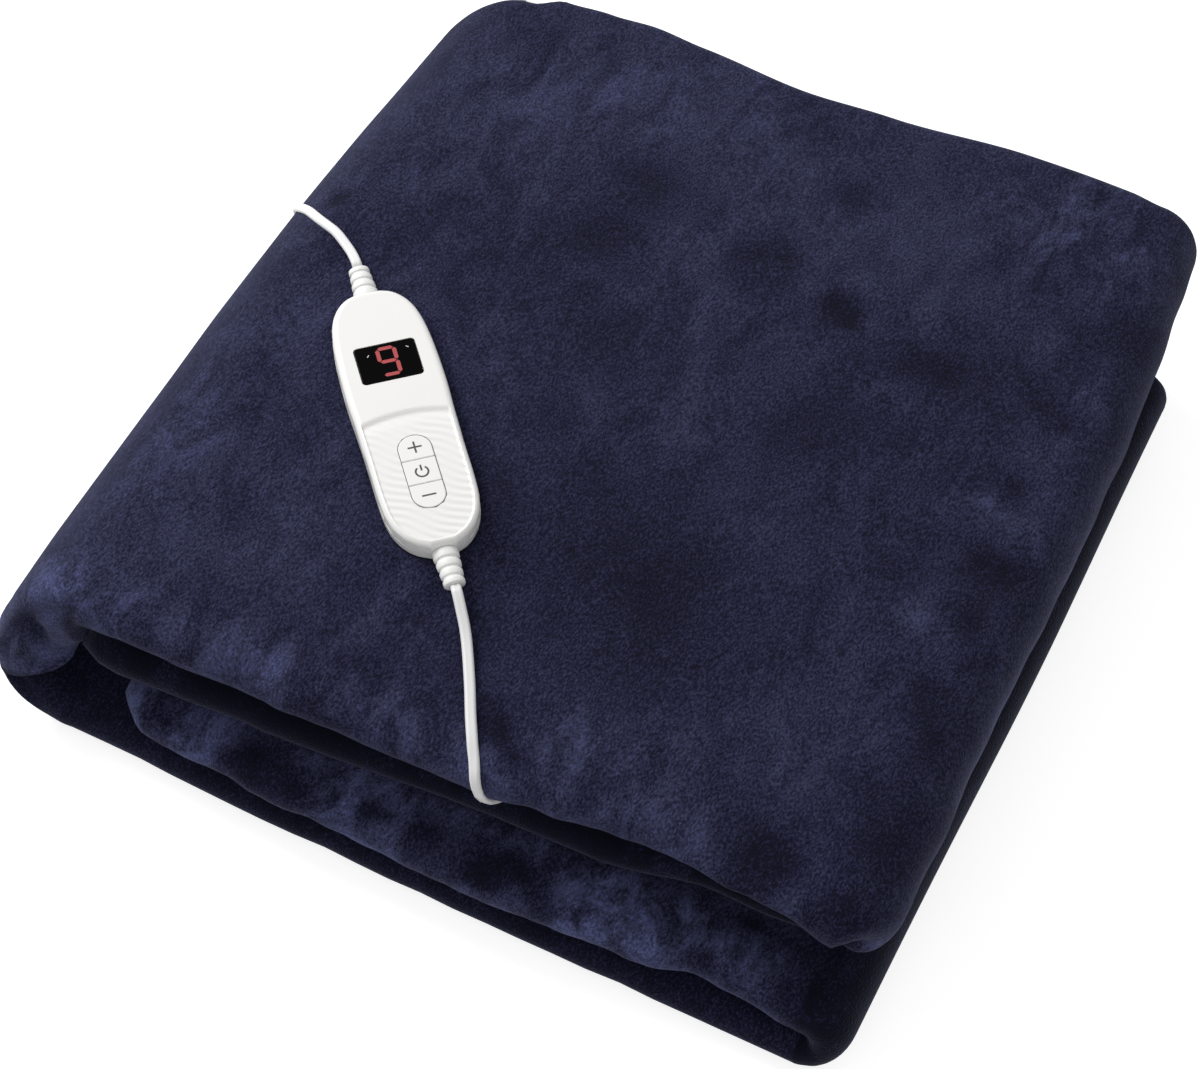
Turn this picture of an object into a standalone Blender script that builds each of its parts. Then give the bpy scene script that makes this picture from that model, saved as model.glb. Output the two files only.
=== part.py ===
"""Electric heated blanket: a plush throw folded into a flat pack, its handset with a display and three
keys lying on top, the flat twin leads, and the mains plug.

Metres, +Z up. X runs along the pack's front edge, Y from the front edge to the back. The origin is on
the floor under the middle of the folded throw. The throw is one cloth: folded in three across its
width into a long strip, and the strip's two ends are folded in and the whole is closed like a book,
so four passes of the strip lie on each other.
"""
import math

import bmesh
import bpy
from mathutils import Matrix, Vector

# ---- the cloth ----
CLOTH_THICK = 0.006           # two plush plies with the heating wire between them
LAYER_GAP = 0.0012            # between the three layers of one strip
STRIP_DEPTH = 0.437           # a third of the cloth's 1.30 m
STRIP_THICK = 3 * CLOTH_THICK + 2 * LAYER_GAP
PASS_GAP = 0.0015             # between two passes that lie on each other
INNER_FLAP_SETBACK = 0.030    # free edges of the two side flaps, from the fold that they nearly reach
OUTER_FLAP_SETBACK = 0.028

# Steps along the cloth's cut width (one strip section) and around its folds
FLAP_STEPS = 6
FACE_STEPS = 9
FRONT_BEND_STEPS = 7
BACK_BEND_STEPS = 4

# Height of each pass's outer face before the pack settles unevenly
FLOOR_LEVEL = 0.0
LOWER_TIER_LEVEL = 2 * STRIP_THICK + PASS_GAP
UPPER_TIER_LEVEL = 0.0470
TOP_LEVEL = 0.0946

# One row for each pass of the strip, from the end inside the upper tier to the end on the lower tier.
# name, start x, end x, outer face level at the start, at the end, inward normal z, back taper, steps
PASSES = (
    ("under_top", -0.1782, 0.2033, UPPER_TIER_LEVEL, UPPER_TIER_LEVEL, 1, 0.9, 7),
    ("top", 0.2033, -0.1757, TOP_LEVEL, TOP_LEVEL, -1, 1.0, 8),
    ("floor", -0.1757, 0.2013, FLOOR_LEVEL, FLOOR_LEVEL, 1, 0.3, 6),
    ("second", 0.2013, -0.1562, LOWER_TIER_LEVEL + 0.002, LOWER_TIER_LEVEL, -1, -0.35, 7),
)
FOLD_STEPS = (8, 10, 8)       # half turns that join the passes: top right, left wrap, lower right

# Front and back edges of each pass: rows of x, y
FRONT_EDGE = {
    "under_top": ((-0.1782, -0.217), (-0.1622, -0.2235), (-0.0872, -0.2205), (0.0478, -0.2135),
                  (0.1028, -0.2125), (0.1428, -0.212), (0.2028, -0.212)),
    "top": ((-0.1732, -0.2165), (-0.0872, -0.2155), (0.0328, -0.2150), (0.0628, -0.211), (0.1028, -0.207),
            (0.1328, -0.2085), (0.1578, -0.211), (0.2028, -0.212)),
    "floor": ((-0.1732, -0.233), (-0.0672, -0.237), (0.0478, -0.239), (0.2028, -0.2400)),
    "second": ((-0.1562, -0.226), (-0.1352, -0.232), (-0.0502, -0.237), (0.0448, -0.240), (0.1288, -0.236),
               (0.1508, -0.231), (0.2028, -0.234)),
}
BACK_EDGE = {
    "under_top": ((-0.1782, 0.224), (0.0028, 0.230), (0.2028, 0.232)),
    "top": ((-0.1752, 0.2180), (-0.1572, 0.2275), (-0.1302, 0.2350), (-0.1022, 0.2390), (-0.0722, 0.2378),
            (-0.0072, 0.2325), (0.0428, 0.235), (0.1228, 0.2405), (0.1828, 0.240), (0.2028, 0.238)),
    "floor": ((-0.1732, 0.205), (0.0028, 0.193), (0.1428, 0.187), (0.2028, 0.178)),
    "second": ((-0.1562, 0.200), (0.0028, 0.191), (0.1428, 0.185), (0.2028, 0.177)),
}
BACK_TAPER = 0.070            # the top tier narrows by this share at its back corners
TAPER_START = 0.45            # share of the depth where the narrowing starts
TAPER_POWER = 1.6
LEFT_FOOT_BULGE = 0.0065      # the left wrap is fuller low down
LEFT_FOOT_HEIGHT = 0.060
LEFT_FOOT_X = (-0.147, -0.207)   # where the fullness starts and is whole
LEFT_FOOT_Y = (0.0, -0.12)       # and the same along the fold, towards the front
FRONT_BEND_REACH = 1.9        # the front fold is a teardrop, this much deeper than it is high

# Height of the top face: rows of y, and its height at the left, middle and right of the pack
TOP_HEIGHT_X = (-0.177, 0.003, 0.193)
TOP_HEIGHT = (
    (-0.218, 0.0880, 0.0880, 0.0865),
    (-0.163, 0.0915, 0.0910, 0.0890),
    (-0.013, 0.0945, 0.0935, 0.0910),
    (0.137, 0.0980, 0.0955, 0.0950),
    (0.237, 0.1000, 0.0950, 0.0980),
)

# ---- the handset ----
HANDSET_PLACE = (-0.0867, -0.0600)      # centre of its underside on the top face
HANDSET_TURN = math.radians(42.0)       # its mains end points left and back
SEAT_LEVEL = 0.0945                     # the cloth is level under the handset
SEAT_HALF_LENGTH = 0.062
SEAT_HALF_WIDTH = 0.030
SEAT_BLEND = 0.045
TOUCH_GAP = 0.0003

HANDSET_LENGTH = 0.158
HANDSET_HEIGHT = 0.0125
BASE_HEIGHT = 0.0052
# Half of the handset's outline, from the mains end to the blanket end: y, half width
HANDSET_OUTLINE = (
    (0.0790, 0.0062), (0.0772, 0.0112), (0.0735, 0.0156), (0.0680, 0.0192), (0.0605, 0.0218),
    (0.0490, 0.0236), (0.0330, 0.0245), (0.0150, 0.0247), (-0.0020, 0.0241), (-0.0220, 0.0236),
    (-0.0420, 0.0235), (-0.0550, 0.0228), (-0.0640, 0.0208), (-0.0710, 0.0170), (-0.0758, 0.0122),
    (-0.0790, 0.0062),
)
COVER_ROUND = 0.0034
BASE_ROUND = 0.0024

WINDOW_SIZE = (0.0300, 0.0228)
WINDOW_CENTRE_Y = 0.0325
WINDOW_THICK = 0.0012

PANEL_MARGIN = 0.0028         # rim left around the recessed lower panel
PANEL_DEPTH = 0.0008
PANEL_TOP_MIDDLE = 0.0004     # the panel's upper edge is a flat arc, highest in the middle
PANEL_TOP_SIDE = -0.0028

KEYS_CENTRE_Y = -0.0357
KEYS_LENGTH = 0.0435
KEYS_WIDTH = 0.0160
KEY_GAP = 0.0004
KEY_THICK = 0.0026
KEY_PROUD = 0.0003
KEY_TRAVEL_ROOM = 0.0012

# ---- leads ----
LEAD_WIDTH = 0.0052           # flat twin flex, width across both cores
RELIEF_LENGTH = 0.020
# Turned profile of a strain relief: distance from the housing, radius
RELIEF_PROFILE = (
    (0.0000, 0.0064), (0.0046, 0.0062), (0.0052, 0.0052), (0.0062, 0.0052), (0.0068, 0.0060),
    (0.0098, 0.0058), (0.0104, 0.0049), (0.0114, 0.0048), (0.0120, 0.0056), (0.0148, 0.0054),
    (0.0154, 0.0046), (0.0164, 0.0045), (0.0170, 0.0053), (0.0196, 0.0051), (0.0200, 0.0030),
)
RELIEF_FLATTEN = 0.82
RELIEF_SIDES = 12

# Mains lead: from the handset over the left fold, down to the floor and along the pack's foot
MAINS_ROUTE = (
    (-0.1535, 0.0142, 0.1010), (-0.1555, 0.0164, 0.1009), (-0.1602, 0.0211, 0.1000),
    (-0.1662, 0.0259, 0.0991),
    (-0.1754, 0.0320, 0.0985), (-0.1819, 0.0351, 0.0975), (-0.1888, 0.0381, 0.0963),
    (-0.1957, 0.0420, 0.0935), (-0.2028, 0.0465, 0.0893), (-0.2119, 0.0520, 0.0816),
    (-0.2182, 0.0580, 0.0717), (-0.2225, 0.0645, 0.0602), (-0.2239, 0.0712, 0.0469),
    (-0.2222, 0.0775, 0.0344), (-0.2205, 0.0835, 0.0240), (-0.2192, 0.0900, 0.0145),
    (-0.2184, 0.0990, 0.0078), (-0.2180, 0.1120, 0.0042), (-0.2178, 0.1320, 0.0030),
    (-0.2178, 0.1650, 0.0030), (-0.2178, 0.2000, 0.0030), (-0.2177, 0.2400, 0.0030),
    (-0.2172, 0.2750, 0.0030), (-0.2160, 0.3020, 0.0031), (-0.2138, 0.3269, 0.0032),
)
# Blanket lead: from the handset's other end over the front lip and in under the top pass
BLANKET_ROUTE = (
    (-0.0199, -0.1342, 0.1010), (-0.0178, -0.1366, 0.1008), (-0.0137, -0.1415, 0.0992),
    (-0.0047, -0.1530, 0.0961),
    (0.0073, -0.1725, 0.0940), (0.0163, -0.1885, 0.0928), (0.0223, -0.1985, 0.0919),
    (0.0273, -0.2068, 0.0895), (0.0313, -0.2135, 0.0853), (0.0346, -0.2162, 0.0785),
    (0.0378, -0.2137, 0.0722), (0.0418, -0.2055, 0.0676), (0.0473, -0.1950, 0.0665),
    (0.0543, -0.1815, 0.0668), (0.0618, -0.1680, 0.0671), (0.0698, -0.1540, 0.0673),
)
MAINS_STEP = 0.010            # distance between the points of each lead's tube
BLANKET_STEP = 0.006

COIL_CENTRE = (-0.2484, 0.3490)
COIL_MEAN_RADIUS = 0.0310
COIL_HALF_WIDTH = 0.0076      # four turns side by side, the flex standing on its edge
COIL_HEIGHT = 0.0106          # two layers of turns
COIL_CORNER = 0.0016

PLUG_ANGLE = math.radians(150.0)        # where on the coil the plug's end leaves it
PLUG_BODY_LENGTH = 0.036
PLUG_BODY_WIDTH = 0.0353
PLUG_BODY_THICK = 0.0137
PLUG_RELIEF_LENGTH = 0.016
PLUG_RELIEF_RADII = (0.0036, 0.0056)    # at the lead and at the body
PIN_RADIUS = 0.0020
PIN_LENGTH = 0.019
PIN_SPACING = 0.0186


# ---- helpers ----
def clear_scene():
    for item in list(bpy.data.objects):
        bpy.data.objects.remove(item, do_unlink=True)


def make_material(name, colour, roughness, metallic=0.0):
    material = bpy.data.materials.new(name)
    material.use_nodes = True
    shader = material.node_tree.nodes["Principled BSDF"]
    shader.inputs["Base Color"].default_value = (*colour, 1.0)
    shader.inputs["Roughness"].default_value = roughness
    shader.inputs["Metallic"].default_value = metallic
    return material


def add_object(name, mesh_builder, material, place=Matrix(), face_out=True):
    """Make one object from a filled bmesh, with its faces pointing out."""
    if face_out:
        bmesh.ops.recalc_face_normals(mesh_builder, faces=mesh_builder.faces)
    mesh = bpy.data.meshes.new(name)
    mesh_builder.to_mesh(mesh)
    mesh_builder.free()
    mesh.materials.append(material)
    mesh.shade_smooth()
    mesh.set_sharp_from_angle(angle=math.radians(35))
    item = bpy.data.objects.new(name, mesh)
    item.matrix_world = place
    bpy.context.collection.objects.link(item)
    return item


def cut(item, cutter):
    """Take the cutter's shape out of an object."""
    cutter.hide_render = True
    cutter.display_type = "WIRE"
    modifier = item.modifiers.new("cut_" + cutter.name, "BOOLEAN")
    modifier.operation = "DIFFERENCE"
    modifier.solver = "EXACT"
    modifier.object = cutter


def ease(share):
    share = min(max(share, 0.0), 1.0)
    return share * share * (3 - 2 * share)


def read_rows(rows, x, column=1):
    """Value at x between the rows of a table whose first column rises."""
    if x <= rows[0][0]:
        return rows[0][column]
    for lower, upper in zip(rows, rows[1:]):
        if x <= upper[0]:
            share = (x - lower[0]) / (upper[0] - lower[0])
            return lower[column] + (upper[column] - lower[column]) * ease(share)
    return rows[-1][column]


def smooth_route(points, step):
    """Even points along a smooth curve through the route's points."""
    points = [Vector(p) for p in points]
    padded = [2 * points[0] - points[1]] + points + [2 * points[-1] - points[-2]]
    fine = []
    for a, b, c, d in zip(padded, padded[1:], padded[2:], padded[3:]):
        for i in range(12):
            t = i / 12
            fine.append(0.5 * (2 * b + (c - a) * t + (2 * a - 5 * b + 4 * c - d) * t ** 2
                               + (3 * b - a - 3 * c + d) * t ** 3))
    fine.append(points[-1])
    length = sum((q - p).length for p, q in zip(fine, fine[1:]))
    count = max(2, round(length / step))
    result = [fine[0]]
    walked = 0.0
    for p, q in zip(fine, fine[1:]):
        piece = (q - p).length
        while len(result) < count and walked + piece >= length * len(result) / count:
            share = (length * len(result) / count - walked) / piece
            result.append(p.lerp(q, share))
        walked += piece
    result.append(fine[-1])
    return result


# ---- the folded cloth ----
def strip_section():
    """Middle line of the cloth across one strip, folded in three: rows of depth, height, normal.

    Depth runs from the strip's front fold to its back fold, height from its outer face inwards.
    """
    outer = CLOTH_THICK / 2
    middle = outer + CLOTH_THICK + LAYER_GAP
    inner = middle + CLOTH_THICK + LAYER_GAP
    back_radius = (middle - outer) / 2
    front_radius = (inner - outer) / 2
    back_end = STRIP_DEPTH - back_radius - CLOTH_THICK / 2
    front_end = FRONT_BEND_REACH * front_radius + CLOTH_THICK / 2
    rows = []

    def straight(start, end, height, normal, steps, skip_first):
        for i in range(1 if skip_first else 0, steps + 1):
            rows.append((start + (end - start) * i / steps, height, 0.0, normal))

    def bend(centre_depth, centre_height, radius, reach, start, end, steps):
        for i in range(1, steps + 1):
            angle = start + (end - start) * i / steps
            normal = Vector((math.cos(angle) / reach, math.sin(angle))).normalized()
            rows.append((centre_depth + radius * reach * math.cos(angle),
                         centre_height + radius * math.sin(angle), normal.x, normal.y))

    half = math.pi / 2
    straight(INNER_FLAP_SETBACK, back_end, middle, 1.0, FLAP_STEPS, False)
    bend(back_end, (outer + middle) / 2, back_radius, 1.0, half, -half, BACK_BEND_STEPS)
    straight(back_end, front_end, outer, -1.0, FACE_STEPS, True)
    bend(front_end, (outer + inner) / 2, front_radius, FRONT_BEND_REACH, -half, -3 * half,
         FRONT_BEND_STEPS)
    straight(front_end, STRIP_DEPTH - OUTER_FLAP_SETBACK, inner, 1.0, FLAP_STEPS, True)
    return rows


def strip_stations():
    """Places along the strip: x and z of its outer face, inward normal, front and back y, taper."""
    stations = []
    for index, (name, x0, x1, z0, z1, inward, taper, steps) in enumerate(PASSES):
        for i in range(0 if index == 0 else 1, steps + 1):
            share = i / steps
            x = x0 + (x1 - x0) * share
            stations.append((x, z0 + (z1 - z0) * ease(share), 0.0, inward,
                             read_rows(FRONT_EDGE[name], x), read_rows(BACK_EDGE[name], x), taper))
        if index == len(PASSES) - 1:
            break
        following = PASSES[index + 1]
        radius = abs(following[3] - z1) / 2
        centre_z = (following[3] + z1) / 2
        side = 1 if x1 > 0 else -1
        ends = [(read_rows(FRONT_EDGE[n], x1), read_rows(BACK_EDGE[n], x1), t)
                for n, t in ((name, taper), (following[0], following[6]))]
        steps = FOLD_STEPS[index]
        for i in range(1, steps + 1):
            turned = math.pi * i / steps
            out_x, out_z = side * math.sin(turned), -side * math.cos(turned)
            front, back, taper_here = (a + (b - a) * ease(i / steps) for a, b in zip(*ends))
            stations.append((x1 + radius * out_x, centre_z + radius * out_z, -out_x, -out_z,
                             front, back, taper_here))
    return stations


def top_height(x, y):
    """Height of the pack's top face, level where the handset lies."""
    columns = [read_rows(TOP_HEIGHT, y, column) for column in (1, 2, 3)]
    height = read_rows(tuple(zip(TOP_HEIGHT_X, columns)), x)
    across, along = handset_share(x, y)
    beyond = math.hypot(max(0.0, abs(across) - SEAT_HALF_WIDTH), max(0.0, abs(along) - SEAT_HALF_LENGTH))
    return height + (SEAT_LEVEL - height) * ease(1 - beyond / SEAT_BLEND)


def handset_share(x, y):
    """A place on the top face in the handset's own directions, across and along."""
    dx, dy = x - HANDSET_PLACE[0], y - HANDSET_PLACE[1]
    return (dx * math.cos(HANDSET_TURN) + dy * math.sin(HANDSET_TURN),
            -dx * math.sin(HANDSET_TURN) + dy * math.cos(HANDSET_TURN))


def fold_point(station, depth, height):
    """Carry a point of the strip section to its place in the pack."""
    x, z, normal_x, normal_z, front, back, taper = station
    spare = (back - front) - STRIP_DEPTH
    y = front + depth + spare * ease((depth - 0.02) / (STRIP_DEPTH - 0.04))
    x += normal_x * height
    z += normal_z * height
    share = max(0.0, depth / STRIP_DEPTH - TAPER_START) / (1 - TAPER_START)
    x *= 1 - taper * BACK_TAPER * share ** TAPER_POWER
    foot = math.sin(math.pi * min(max(z / LEFT_FOOT_HEIGHT, 0.0), 1.0))
    for place, (start, whole) in ((x, LEFT_FOOT_X), (y, LEFT_FOOT_Y)):
        foot *= ease((place - start) / (whole - start))
    x -= LEFT_FOOT_BULGE * foot
    return Vector((x, y, z * top_height(x, y) / TOP_LEVEL))


def build_cloth(material):
    """The throw starts as a flat slab, and each of its points is carried to its place in the folds."""
    section = strip_section()
    stations = strip_stations()
    columns, rows = len(section) - 1, len(stations) - 1
    slab = bmesh.new()
    bmesh.ops.create_grid(slab, x_segments=columns, y_segments=rows, size=0.5)
    skin = bmesh.ops.extrude_face_region(slab, geom=slab.faces[:])
    lifted = {v for v in skin["geom"] if isinstance(v, bmesh.types.BMVert)}
    bmesh.ops.translate(slab, verts=list(lifted), vec=(0, 0, 0.1))
    bmesh.ops.recalc_face_normals(slab, faces=slab.faces)
    for vert in slab.verts:
        depth, height, normal_depth, normal_height = section[round((vert.co.x + 0.5) * columns)]
        offset = CLOTH_THICK / 2 * (1 if vert in lifted else -1)
        station = stations[round((vert.co.y + 0.5) * rows)]
        vert.co = fold_point(station, depth + normal_depth * offset, height + normal_height * offset)
    bmesh.ops.reverse_faces(slab, faces=slab.faces)
    return add_object("blanket", slab, material, face_out=False)


# ---- the handset ----
def handset_outline(inset=0.0):
    """Closed outline of the handset, seen from above, drawn in by the inset."""
    right = [Vector((half, y)) for y, half in HANDSET_OUTLINE]
    outline = right + [Vector((-p.x, p.y)) for p in reversed(right)]
    if not inset:
        return outline
    moved = []
    for before, here, after in zip(outline[-1:] + outline, outline, outline[1:] + outline[:1]):
        along = (after - before).normalized()
        moved.append(here + inset * Vector((along.y, -along.x)))
    return moved


def extrude_outline(outline, low, high):
    """Upright solid over a closed outline."""
    solid = bmesh.new()
    floor = solid.faces.new([solid.verts.new((p[0], p[1], low)) for p in outline])
    raised = bmesh.ops.extrude_face_region(solid, geom=[floor])
    top = [v for v in raised["geom"] if isinstance(v, bmesh.types.BMVert)]
    bmesh.ops.translate(solid, verts=top, vec=(0, 0, high - low))
    return solid


def round_rim(solid, level, width, segments):
    """Round the rim edges that lie at one level."""
    rim = [e for e in solid.edges if all(abs(v.co.z - level) < 1e-6 for v in e.verts)]
    bmesh.ops.bevel(solid, geom=rim, offset=width, offset_type="OFFSET", segments=segments, profile=0.5,
                    affect="EDGES", clamp_overlap=True, material=-1)


def stadium(length, width, centre_y, steps=8):
    """Outline with straight sides and round ends, its long way along Y."""
    radius = width / 2
    reach = length / 2 - radius
    outline = []
    for end, start in ((1, 0.0), (-1, math.pi)):
        for i in range(steps + 1):
            angle = start + math.pi * i / steps
            outline.append((radius * math.cos(angle), centre_y + end * reach + radius * math.sin(angle)))
    return outline


def rectangle(width, length, centre_y):
    return [(sx * width / 2, centre_y + sy * length / 2) for sx, sy in ((-1, -1), (1, -1), (1, 1), (-1, 1))]


def panel_outline():
    """The recessed lower panel: the housing's outline drawn in, closed above by an arc."""
    inset = [p for p in handset_outline(PANEL_MARGIN) if p.y < PANEL_TOP_SIDE]
    right = [p for p in inset if p.x > 0]
    left = [p for p in inset if p.x < 0]
    half = right[0].x
    arc = []
    steps = 8
    for i in range(steps + 1):
        share = 2 * i / steps - 1
        arc.append((share * half, PANEL_TOP_MIDDLE + (PANEL_TOP_SIDE - PANEL_TOP_MIDDLE) * share ** 2))
    return [tuple(p) for p in right] + [tuple(p) for p in left] + arc


def clip_outline(outline, low_y, high_y):
    """Part of a closed outline between two y levels."""
    clipped = []
    for (x0, y0), (x1, y1) in zip(outline, outline[1:] + outline[:1]):
        crossings = sorted({(y - y0) / (y1 - y0) for y in (low_y, high_y)
                            if (y0 - y) * (y1 - y) < 0})
        if low_y <= y0 <= high_y:
            clipped.append((x0, y0))
        for share in crossings:
            clipped.append((x0 + (x1 - x0) * share, y0 + (y1 - y0) * share))
    return clipped


def build_handset(place, materials):
    shell, rubber, glass = materials
    base = extrude_outline(handset_outline(), 0.0, BASE_HEIGHT)
    round_rim(base, 0.0, BASE_ROUND, 2)
    add_object("handset_base", base, shell, place)

    cover = extrude_outline(handset_outline(), BASE_HEIGHT + TOUCH_GAP, HANDSET_HEIGHT)
    round_rim(cover, HANDSET_HEIGHT, COVER_ROUND, 3)
    cover = add_object("handset_cover", cover, shell, place)

    panel_level = HANDSET_HEIGHT - PANEL_DEPTH
    key_top = panel_level + KEY_PROUD
    window_low = HANDSET_HEIGHT - WINDOW_THICK - TOUCH_GAP
    pocket_low = key_top - KEY_THICK - KEY_TRAVEL_ROOM
    above = HANDSET_HEIGHT + 0.004
    window_hole = rectangle(WINDOW_SIZE[0] + 2 * TOUCH_GAP, WINDOW_SIZE[1] + 2 * TOUCH_GAP, WINDOW_CENTRE_Y)
    key_hole = stadium(KEYS_LENGTH + 2 * KEY_GAP, KEYS_WIDTH + 2 * KEY_GAP, KEYS_CENTRE_Y)
    for name, outline, low in (("window_pocket", window_hole, window_low),
                               ("panel_recess", panel_outline(), panel_level),
                               ("key_pocket", key_hole, pocket_low)):
        cut(cover, add_object(name, extrude_outline(outline, low, above), shell, place))

    window = extrude_outline(rectangle(*WINDOW_SIZE, WINDOW_CENTRE_Y), window_low + TOUCH_GAP, HANDSET_HEIGHT)
    add_object("display_window", window, glass, place)

    third = KEYS_LENGTH / 3
    for name, row in (("key_plus", 1), ("key_power", 0), ("key_minus", -1)):
        low_y = -third / 2 + (KEY_GAP / 2 if row > -1 else -1)
        high_y = third / 2 - (KEY_GAP / 2 if row < 1 else -1)
        pad = stadium(KEYS_LENGTH, KEYS_WIDTH, -row * third)
        key = extrude_outline(clip_outline(pad, low_y, high_y), -KEY_THICK, 0.0)
        on_axis = Matrix.Translation((0, KEYS_CENTRE_Y + row * third, key_top))
        add_object(name, key, rubber, place @ on_axis)

    for name, end in (("relief_mains", 1), ("relief_blanket", -1)):
        add_object(name, build_relief(end), shell, place)


def build_relief(end):
    """Ribbed strain relief, turned about the handset's long axis and slightly flat."""
    relief = bmesh.new()
    start = HANDSET_LENGTH / 2 + TOUCH_GAP
    points = [(distance, radius) for distance, radius in RELIEF_PROFILE]
    points = [(0.0, 0.0)] + points + [(RELIEF_LENGTH, 0.0)]
    verts = [relief.verts.new((radius, end * (start + distance), 0.0)) for distance, radius in points]
    edges = [relief.edges.new(pair) for pair in zip(verts, verts[1:])]
    bmesh.ops.spin(relief, geom=verts + edges, cent=(0, 0, 0), axis=(0, 1, 0), angle=2 * math.pi,
                   steps=RELIEF_SIDES, use_merge=True)
    bmesh.ops.remove_doubles(relief, verts=relief.verts[:], dist=1e-6)
    bmesh.ops.scale(relief, vec=(1, 1, RELIEF_FLATTEN), verts=relief.verts[:])
    bmesh.ops.translate(relief, vec=(0, 0, HANDSET_HEIGHT / 2), verts=relief.verts[:])
    return relief


# ---- leads, coil and plug ----
def build_lead(name, route, step, material):
    curve = bpy.data.curves.new(name, "CURVE")
    curve.dimensions = "3D"
    curve.bevel_depth = LEAD_WIDTH / 2
    curve.bevel_resolution = 2
    curve.use_fill_caps = True
    curve.render_resolution_u = 0
    points = smooth_route(route, step)
    spline = curve.splines.new("POLY")
    spline.points.add(len(points) - 1)
    for target, point in zip(spline.points, points):
        target.co = (*point, 1.0)
    curve.materials.append(material)
    bpy.context.collection.objects.link(bpy.data.objects.new(name, curve))


def build_coil(material):
    """The spare lead's coil as one turned ring of its outer shape."""
    ring = bmesh.new()
    section = []
    for sx, sz, start in ((1, 0, -90), (1, 1, 0), (-1, 1, 90), (-1, 0, 180)):
        centre_x = COIL_MEAN_RADIUS + sx * (COIL_HALF_WIDTH - COIL_CORNER)
        centre_z = TOUCH_GAP + (COIL_HEIGHT - COIL_CORNER if sz else COIL_CORNER)
        for i in range(3):
            angle = math.radians(start + 45 * i)
            section.append((centre_x + COIL_CORNER * math.cos(angle), centre_z + COIL_CORNER * math.sin(angle)))
    verts = [ring.verts.new((x, 0.0, z)) for x, z in section]
    edges = [ring.edges.new(pair) for pair in zip(verts, verts[1:] + verts[:1])]
    bmesh.ops.spin(ring, geom=verts + edges, cent=(0, 0, 0), axis=(0, 0, 1), angle=2 * math.pi, steps=28,
                   use_merge=True)
    bmesh.ops.remove_doubles(ring, verts=ring.verts[:], dist=1e-6)
    add_object("coil_mains", ring, material, Matrix.Translation((*COIL_CENTRE, 0.0)))


def build_plug(white, metal):
    """Flat two-pin plug whose cord end leaves the coil along its edge."""
    out = Vector((math.cos(PLUG_ANGLE), math.sin(PLUG_ANGLE), 0.0))
    heading = Vector((-out.y, out.x, 0.0))
    turn = math.atan2(heading.y, heading.x) - math.pi / 2
    beside = COIL_MEAN_RADIUS + COIL_HALF_WIDTH + TOUCH_GAP + PLUG_RELIEF_RADII[0]
    start = Vector((*COIL_CENTRE, 0.0)) + out * beside + heading * 0.003
    place = Matrix.Translation(start) @ Matrix.Rotation(turn, 4, "Z")
    axis_height = PLUG_BODY_THICK / 2 + TOUCH_GAP

    relief = bmesh.new()
    bmesh.ops.create_cone(relief, segments=12, radius1=PLUG_RELIEF_RADII[0], radius2=PLUG_RELIEF_RADII[1],
                          depth=PLUG_RELIEF_LENGTH, cap_ends=True)
    bmesh.ops.rotate(relief, matrix=Matrix.Rotation(-math.pi / 2, 3, "X"), verts=relief.verts[:])
    bmesh.ops.translate(relief, vec=(0, PLUG_RELIEF_LENGTH / 2, axis_height), verts=relief.verts[:])
    add_object("plug_relief", relief, white, place)

    near = PLUG_RELIEF_LENGTH + TOUCH_GAP
    far = near + PLUG_BODY_LENGTH
    outline = [(0.0068, near), (0.0100, near + 0.004), (0.0150, near + 0.018), (PLUG_BODY_WIDTH / 2, far - 0.010),
               (PLUG_BODY_WIDTH / 2, far)]
    outline = outline + [(-x, y) for x, y in reversed(outline)]
    body = extrude_outline(outline, TOUCH_GAP, TOUCH_GAP + PLUG_BODY_THICK)
    for level in (TOUCH_GAP, TOUCH_GAP + PLUG_BODY_THICK):
        round_rim(body, level, 0.0030, 2)
    add_object("plug_body", body, white, place)

    for name, side in (("plug_pin_left", -1), ("plug_pin_right", 1)):
        pin = bmesh.new()
        bmesh.ops.create_cone(pin, segments=12, radius1=PIN_RADIUS, radius2=PIN_RADIUS, depth=PIN_LENGTH,
                              cap_ends=True)
        bmesh.ops.rotate(pin, matrix=Matrix.Rotation(math.pi / 2, 3, "X"), verts=pin.verts[:])
        middle = (side * PIN_SPACING / 2, far + TOUCH_GAP + PIN_LENGTH / 2, axis_height)
        bmesh.ops.translate(pin, vec=middle, verts=pin.verts[:])
        add_object(name, pin, metal, place)


def main():
    clear_scene()
    plush = make_material("navy_plush", (0.021, 0.024, 0.062), 0.95)
    white = make_material("white_abs", (0.86, 0.86, 0.85), 0.35)
    key_white = make_material("warm_white_keys", (0.80, 0.79, 0.77), 0.45)
    glass = make_material("black_window", (0.012, 0.010, 0.012), 0.12)
    flex = make_material("white_pvc_flex", (0.85, 0.85, 0.84), 0.42)
    nickel = make_material("nickelled_brass", (0.72, 0.71, 0.68), 0.25, 1.0)

    build_cloth(plush)
    handset = Matrix.Translation((*HANDSET_PLACE, SEAT_LEVEL + TOUCH_GAP)) @ Matrix.Rotation(HANDSET_TURN, 4, "Z")
    build_handset(handset, (white, key_white, glass))
    build_lead("lead_mains", MAINS_ROUTE, MAINS_STEP, flex)
    build_lead("lead_blanket", BLANKET_ROUTE, BLANKET_STEP, flex)
    build_coil(flex)
    build_plug(white, nickel)


main()
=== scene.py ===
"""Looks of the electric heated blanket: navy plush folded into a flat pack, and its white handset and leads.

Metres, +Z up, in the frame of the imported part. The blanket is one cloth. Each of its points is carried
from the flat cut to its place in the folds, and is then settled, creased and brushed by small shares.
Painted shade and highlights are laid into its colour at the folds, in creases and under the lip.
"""
import math

import bmesh
import bpy
from mathutils import Matrix, Vector, noise


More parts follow.
